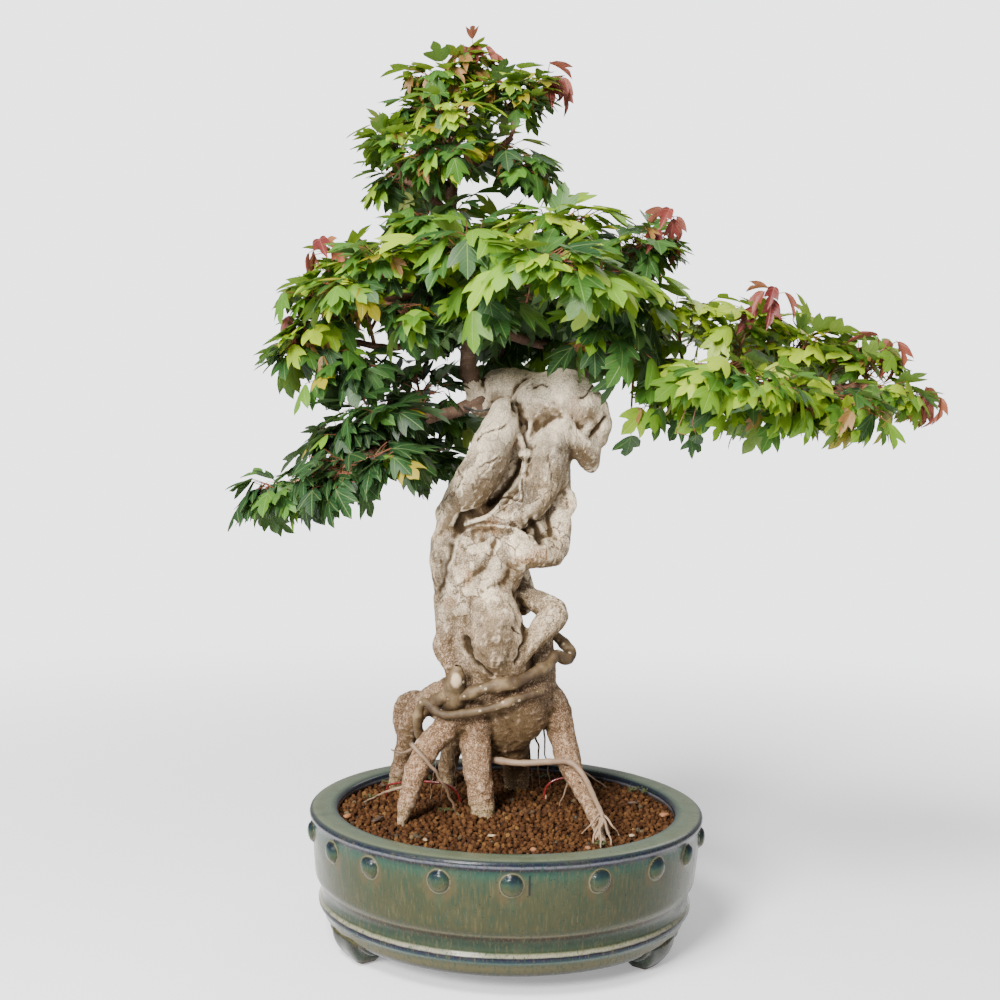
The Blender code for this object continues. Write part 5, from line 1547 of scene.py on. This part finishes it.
def leafMesh(stalk, tilt, fold, curl, narrow, seed):
    # A three-lobed blade of length 1 on a stalk that starts at the origin and runs along Y
    draw = random.Random(seed)
    flat, faces = [], []

    def put(key, hand):
        first = len(flat)
        for x, y in leafShapes[key]:
            flat.append((hand * x * narrow * draw.uniform(0.95, 1.05), y * draw.uniform(0.98, 1.02)))
        return list(range(first, len(flat)))

    # Points of the middle, the side vein, the edge, the inner edge and the middle lobe
    m = put("middle", 1)
    for hand in (1, -1):
        v, e, n, l = [put(key, hand) for key in ("side", "edge", "inner", "lobe")]
        half = [(m[0], e[0], e[1], v[0]), (v[0], e[1], e[2], v[1]), (v[1], e[2], e[3], v[2]),
                (v[2], e[3], e[4], v[3]), (m[0], v[0], m[1]), (m[1], v[0], v[1], m[2]),
                (m[2], v[1], n[2], m[3]), (v[1], v[2], n[1], n[2]), (v[2], v[3], n[0], n[1]),
                (m[3], n[2], l[0], m[4]), (m[4], l[0], l[1], m[5]), (m[5], l[1], l[2], m[6])]
        faces += half if hand == 1 else [tuple(reversed(face)) for face in half]
    # The blade hangs from the stalk's end by the tilt, with sunken veins
    turn = Matrix.Rotation(-math.radians(tilt), 3, "X")
    rise = 0.16 * stalk
    points = []
    for number, (x, y) in enumerate(flat):
        z = fold * abs(x) - 0.3 * curl * y * y - 0.7 * curl * x * x
        z -= leafShapes["veinDepth"] if number in m else 0
        points.append(turn @ Vector((x, y, z)) + Vector((0, stalk, rise)))
    # A three-sided stalk with a slight rise
    rings = leafShapes["stalkRings"]
    first = len(points)
    for share in np.linspace(0, 1, rings):
        thick = 0.021 - 0.006 * share
        for angle in np.radians((90, 210, 330)):
            points.append(Vector((thick * math.cos(angle), stalk * share,
                                  rise * math.sin(share * math.pi / 2) + thick * math.sin(angle))))
            flat.append((0, -1 + share))
    faces += gridFaces(rings, 3, start=first)
    mesh = newMesh("leafShape", points, faces)
    layer = mesh.uv_layers.new(name="leafPlace")
    for loop in mesh.loops:
        layer.data[loop.index].uv = flat[loop.vertex_index]
    setValues(mesh, "stalk", [0.0] * first + [1.0] * (len(points) - first))
    return mesh


def leafTree():
    tree, given, out = newTree("growLeaves", "GeometryNodeTree", [
        ("Geometry", "Geometry"), ("Leaves", "Collection"), ("Leaf Material", "Material"),
        ("Twig Material", "Material")], ("Geometry", "Geometry"))

    def stored(name, kind="FLOAT"):
        return made(tree, "GeometryNodeInputNamedAttribute", 0, {"Name": name}, data_type=kind)

    isFoot = made(tree, "FunctionNodeCompare", 0, {0: stored("isFoot"), 1: 0.5}, data_type="FLOAT",
                  operation="GREATER_THAN")
    placed = placesOf(tree, given["Geometry"], given["Leaves"], **{
        "Selection": isFoot, "Instance Index": stored("shape", "INT"),
        "Rotation": stored("turn", "FLOAT_VECTOR"), "Scale": stored("size")})
    bare = made(tree, "GeometryNodeDeleteGeometry", 0, {"Geometry": given["Geometry"], "Selection": isFoot})
    solid = made(tree, "GeometryNodeRealizeInstances", 0, {"Geometry": placed})
    both = addNode(tree, "GeometryNodeJoinGeometry", {0: painted(tree, bare, given["Twig Material"])})
    plug(painted(tree, solid, given["Leaf Material"]), both.inputs[0])
    plug(Value(tree, both.outputs[0]), out)
    return tree


leafLooks = {
    "fixed": {"Roughness": 0.44, "Specular IOR Level": 0.35},
    "stored": ("tone", "age", "flush", "stalk"),
    "noises": {"patch": (120.0,)},
    "products": {"fresh": [("age", 0.1, 0.7, 0.15, 1)]},
    "layers": [
        ("youngShade", ("patch", 0.45, 0.75, 0, 0.25), ("fresh", 1)),
        ((0.30, 0.23, 0.012), ("flush", 0.2, 0.5, 0, 0.85)),
        ((0.22, 0.085, 0.035), ("flush", 0.6, 1.0, 0, 0.85)),
        ("vein", ("veins", 0.32), ("up", 0.0, 0.03)),
        ("under", ("behind", 0.65)),
        ((0.22, 0.075, 0.04), ("stalk", 1))],
    "relief": (0.0005, 0.5, {"patch": 0.4, "veins": -1}),
    # How much light comes through, and how much fresh leaves tint it
    "through": 0.24, "tint": 0.6,
}
twigLooks = {
    "fixed": {"Roughness": 0.55}, "noises": {"patch": (160.0,)},
    "ground": ("patch", [(0.3, (0.16, 0.055, 0.03)), (0.55, (0.24, 0.10, 0.05)), (0.75, (0.20, 0.19, 0.07))]),
    "relief": (0.0004, 0.6, {"patch": 1}),
}


def leafMaterial(name, kind):
    shades = kind["shades"]

    def leafMasks(tree, place, masks):
        x, y, _ = partsOf(made(tree, "ShaderNodeUVMap", 0, uv_map="leafPlace"))
        x = abs(x)
        mixed = masks["age"] + (masks["tone"] - 0.5) * 0.35
        masks["colour"] = ramp(mixed, list(zip((0.0, 0.3, 0.55, 0.8, 1.0), shades)))
        # Pale veins: one along the middle, one to each side lobe, and faint ribs between them
        sideVein = between(abs((y - 0.06) * 0.70 - x), 0.022, 0.006)
        middleVein = between(x, 0.022, 0.005)
        wave = (y - x * 0.9) * 52.0
        ribs = between(wave.math("SINE", wave), 0.75, 1.0, 0, 0.3)
        masks["veins"] = sideVein.atLeast(middleVein).atLeast(ribs)
        masks["up"] = y
        masks["behind"] = made(tree, "ShaderNodeNewGeometry", "Backfacing")
        masks.update(youngShade=shades[3], vein=kind["vein"], under=kind["under"])

    material, masks = makeMaterial(name, leafLooks, leafMasks)
    glow = blended(masks["fresh"] * leafLooks["tint"], masks["colour"], kind["glow"])
    through = made(material.node_tree, "ShaderNodeBsdfTranslucent", 0, {"Color": glow})
    mixIn(material, leafLooks["through"], through)
    return material


def along(route, share):
    # The place and the direction at a share of a route's length
    points = [Vector(point[:3]) for point in route]
    lengths = [(b - a).length for a, b in zip(points, points[1:])]
    left = share * sum(lengths)
    for start, end, length in zip(points, points[1:], lengths):
        if left <= length:
            return start.lerp(end, left / length), (end - start).normalized()
        left -= length
    return points[-1], (points[-1] - points[-2]).normalized()


def twigRoute(start, end, draw, radius, rise=0.10, sway=0.06):
    # A twig bowed up and to one side, and thinner to its tip
    way = end - start
    bow = way.length * (rise * up + draw.uniform(-sway, sway) * way.cross(up).normalized())
    return [(*(start.lerp(end, share) + math.sin(math.pi * share) * bow), radius * (1 - 0.45 * share))
            for share in (0, 0.25, 0.5, 0.75, 1)]


def turnTo(way, normal):
    # The rotation that turns Y to the way and Z as near the normal as it goes
    forward = way.normalized()
    across = forward.cross(normal)
    across = across.normalized() if across.length > 1e-6 else Vector((1, 0, 0))
    return Matrix((across, forward, across.cross(forward))).transposed().to_euler()


growth = {
    # Middle of the canopy, from which leaves turn outwards
    "middle": (20, 0, 460),
    # No leaves hang in front of the trunk: x from and to, furthest y, and z up to
    "keptClear": [(-86, 42, 15, 450), (42, 100, 40, 452), (-52, -8, 22, 492)],
    # Age from 0 dark and mature to 1 yellow-green, size of leaves, and share of reddish ones, by the
    # start of the spray's name
    "looks": {
        "crown": (0.38, 0.72, 0.16), "crown_top": (0.56, 0.68, 0.5), "crown_right": (0.36, 0.70, 0.4),
        "crown_left": (0.52, 0.70, 0.26), "neck": (0.45, 0.78, 0.06), "left": (0.54, 0.80, 0.08),
        "left_top": (0.42, 0.80, 0.16), "front": (0.57, 1.0, 0.02), "middle": (0.56, 0.92, 0.03),
        "right": (0.77, 0.82, 0.07), "right_far": (0.8, 0.8, 0.16), "right_tip": (0.86, 0.78, 0.28),
        # The low left sprays are far older than the rest, so darker, as painted shade for the shade they
        # stand in under the canopy
        "right_top": (0.5, 0.82, 0.06), "back": (0.2, 0.85, 0.01), "low_left": (-0.3, 0.80, 0.0),
        "low_left_tip": (0.2, 0.74, 0.01)},
    # Leaves grow younger with each millimetre of height, and older and smaller inside
    "younger": 0.007, "redAge": 0.25, "ageSpread": 0.26, "innerOlder": 0.25, "innerSmaller": 0.2,
    # A leaf aims along its twig and to its side, leans at random and turns outwards
    "aim": (0.5, 0.85), "flattened": 0.4, "lean": 0.3, "leanTilt": 0.9, "outwards": 0.6,
    # Radii of a spray's main twig, of its others, of a twiglet, of a red shoot and of a hanging leaf's stem
    "radii": {"main": 1.7, "other": 1.5, "twiglet": 0.75, "shoot": 0.9, "hanger": 0.6},
    # Where pairs of twiglets stand on a twig, and their length
    "pairs": (0.3, 0.55, 0.8), "twiglet": 29,
    # Pairs of leaves: share along, turn from and to, rise, and how far inside the canopy they are
    "onTwiglet": [(0.97, -20, 20, 0.15, 0), (0.66, 50, 90, 0.1, 0.3), (0.36, -20, 20, 0.0, 0.8)],
    "onTwig": [(0.985, -20, 20, 0.15, 0), (0.9, 60, 100, 0.1, 0), (0.62, -20, 20, 0.1, 0.4),
               (0.3, 60, 100, 0.0, 0.8)],
    # Share along and turn on a red shoot
    "onShoot": [(0.35, 0), (0.65, 90), (0.92, 20)],
    # Single leaves that hang on long shoots: place, aim and blade length
    "hangers": {
        "right_inner": [((88, -30, 412), (0.15, 0, -1), 25)],
        "right_front": [((121, -60, 405), (1, 0, -0.3), 23), ((133, -60, 412), (0.3, 0, -1), 21)]},
}


def isKeptClear(foot):
    return any(low < foot.x < high and foot.y < back and foot.z < top
               for low, high, back, top in growth["keptClear"])


class Spray:
    # One spray's twigs and the feet of its leaves
    def __init__(self, seed, kind, age, size=1.0, flush=0.0):
        self.draw = random.Random(seed)
        self.heap = Heap()
        self.feet = []
        self.kind, self.age, self.size, self.flush = kind, age, size, flush

    def twig(self, route, sides):
        self.heap.add(*sweep(route, sides, 6.0)[:2])

    def leaf(self, foot, way, arm, rise, inner=0.0):
        draw = self.draw
        reach = growth["lean"]
        lean = Vector([draw.uniform(-reach, reach) for _ in range(3)])
        onWay, aside = growth["aim"]
        arm = Vector((arm.x, arm.y, arm.z * growth["flattened"]))
        aim = onWay * way + aside * arm + rise * up + lean
        outwards = (foot - Vector(growth["middle"])).normalized()
        normal = up + growth["outwards"] * outwards + growth["leanTilt"] * lean
        size = draw.uniform(*leafKinds[self.kind]["length"]) * self.size
        size *= 1 - growth["innerSmaller"] * inner
        age = self.age + draw.gauss(0, growth["ageSpread"]) - growth["innerOlder"] * inner
        age = min(1, max(0, age))
        chance = draw.random()
        flush = 1.0 if chance < self.flush else 0.5 if chance < 1.4 * self.flush + 0.04 else 0.0
        flush = flush if inner == 0 else 0.0
        if isKeptClear(foot):
            return
        greens = len(leafShapes["green"])
        if self.kind == "green" and flush < 1:
            shape = draw.randrange(greens)
        else:
            shape = greens + draw.randrange(len(leafShapes["red"]))
            size *= 0.85
        self.feet.append((foot, turnTo(aim, normal), size, draw.random(), age, shape, flush))

    def pair(self, route, share, turn, rise, inner=0.0):
        foot, way = along(route, share)
        side = way.cross(up)
        side = side.normalized() if side.length > 1e-6 else Vector((1, 0, 0))
        for opposite in (0, 180):
            roll = math.radians(turn + opposite + self.draw.uniform(-18, 18))
            self.leaf(foot, way, Matrix.Rotation(roll, 3, way) @ side, rise, inner)

    def pairs(self, route, places):
        for share, low, high, rise, inner in places:
            self.pair(route, share, self.draw.uniform(low, high), rise, inner)

    def mesh(self):
        # Twigs, and a loose point for each leaf that carries its values
        feet, turns, sizes, tones, ages, shapes, flushes = zip(*self.feet)
        self.heap.add(feet, [], isFoot=1, size=np.array(sizes) * mm, tone=tones, age=ages, flush=flushes)
        mesh = self.heap.mesh("spray")
        mesh.attributes.new("turn", "FLOAT_VECTOR", "POINT")
        mesh.attributes.new("shape", "INT", "POINT")
        for number, (turn, shape) in enumerate(zip(turns, shapes), len(mesh.vertices) - len(feet)):
            mesh.attributes["turn"].data[number].vector = turn
            mesh.attributes["shape"].data[number].value = shape
        return mesh


def looksOf(name):
    # The longest start of the name that has looks of its own
    return growth["looks"][max((key for key in growth["looks"] if name.startswith(key)), key=len)]


def growTwig(spray, route):
    # Twiglets in opposite pairs, with leaves in pairs along them and at their tips
    draw = spray.draw
    total = sum((Vector(b[:3]) - Vector(a[:3])).length for a, b in zip(route, route[1:]))
    for share in growth["pairs"]:
        for hand in (1, -1):
            foot, way = along(route, min(0.97, share + draw.uniform(-0.05, 0.05)))
            side = way.cross(up).normalized() * hand
            aim = (0.75 * way + 0.8 * side + draw.uniform(-0.15, 0.3) * up).normalized()
            length = growth["twiglet"] * spray.size * draw.uniform(0.7, 1.2) * (1 - 0.3 * share)
            tip = foot + aim * min(length, 0.45 * total + 6)
            small = twigRoute(foot, tip, draw, growth["radii"]["twiglet"], 0.08, 0.1)
            if not isKeptClear(tip):
                spray.twig(small, 4)
                spray.pairs(small, growth["onTwiglet"])
                spray.leaf(*along(small, 1.0), aim * 0.4, 0.0)
    spray.pairs(route, growth["onTwig"])
    tip, way = along(route, 1.0)
    spray.leaf(tip, way, way * 0.4, 0.0)


def makeSprays():
    leaves = {"green": leafMaterial("greenLeaf", leafKinds["green"]),
              "red": leafMaterial("bronzeLeaf", leafKinds["red"])}
    youngTwig = makeMaterial("youngTwig", twigLooks)[0]
    shapes = shapeCollection("leafShape", [
        leafMesh(*values) for kind in ("green", "red") for values in leafShapes[kind]])
    tree = leafTree()
    radii = growth["radii"]

    def finish(spray, name, node):
        obj = linked("growing", spray.mesh())
        mesh = grown(obj, tree, {"Leaves": shapes, "Leaf Material": leaves[spray.kind],
                                 "Twig Material": youngTwig})
        bpy.data.objects.remove(obj)
        addPiece(name, mesh, (), [node])
        return len(spray.feet)

    ends = {}
    count = 0
    for seed, (name, (branch, share, tips)) in enumerate(sprays.items()):
        spray = Spray(100 + seed, "green", *looksOf(name))
        start, _ = along(thinLimbs[branch], share)
        main = twigRoute(start, Vector(tips[0]), spray.draw, radii["main"])
        routes = [main] + [twigRoute(along(main, 0.2)[0], Vector(tip), spray.draw, radii["other"])
                           for tip in tips[1:]]
        age = spray.age
        for route in routes:
            spray.age = age + growth["younger"] * (route[-1][2] - start.z)
            spray.twig(route, 7)
            growTwig(spray, route)
        for foot, aim, size in growth["hangers"].get(name, ()):
            spray.twig(twigRoute(Vector(routes[-1][-1][:3]), Vector(foot), spray.draw, radii["hanger"]), 4)
            turn = turnTo(Vector(aim), Vector((0.2, -1, 0.4)))
            spray.feet.append((Vector(foot), turn, size, 0.3, 0.3, 1, 0.0))
        ends[name] = [Vector(route[-1][:3]) for route in routes]
        count += finish(spray, "leaves_" + name, "spray_" + name)
    for seed, (name, (sprayName, number, end)) in enumerate(redShoots.items()):
        spray = Spray(300 + seed, "red", growth["redAge"])
        main = twigRoute(ends[sprayName][number], Vector(end), spray.draw, radii["shoot"])
        spray.twig(main, 6)
        for share, turn in growth["onShoot"]:
            spray.pair(main, share, turn, -0.1)
        spray.leaf(*along(main, 1.0), Vector((0, 0, -0.3)), -0.3)
        count += finish(spray, "redLeaves_" + name, "red_shoot_" + name)
    removeCollection(shapes)
    print(count, "leaves")


makeSprays()
print("leaves made")
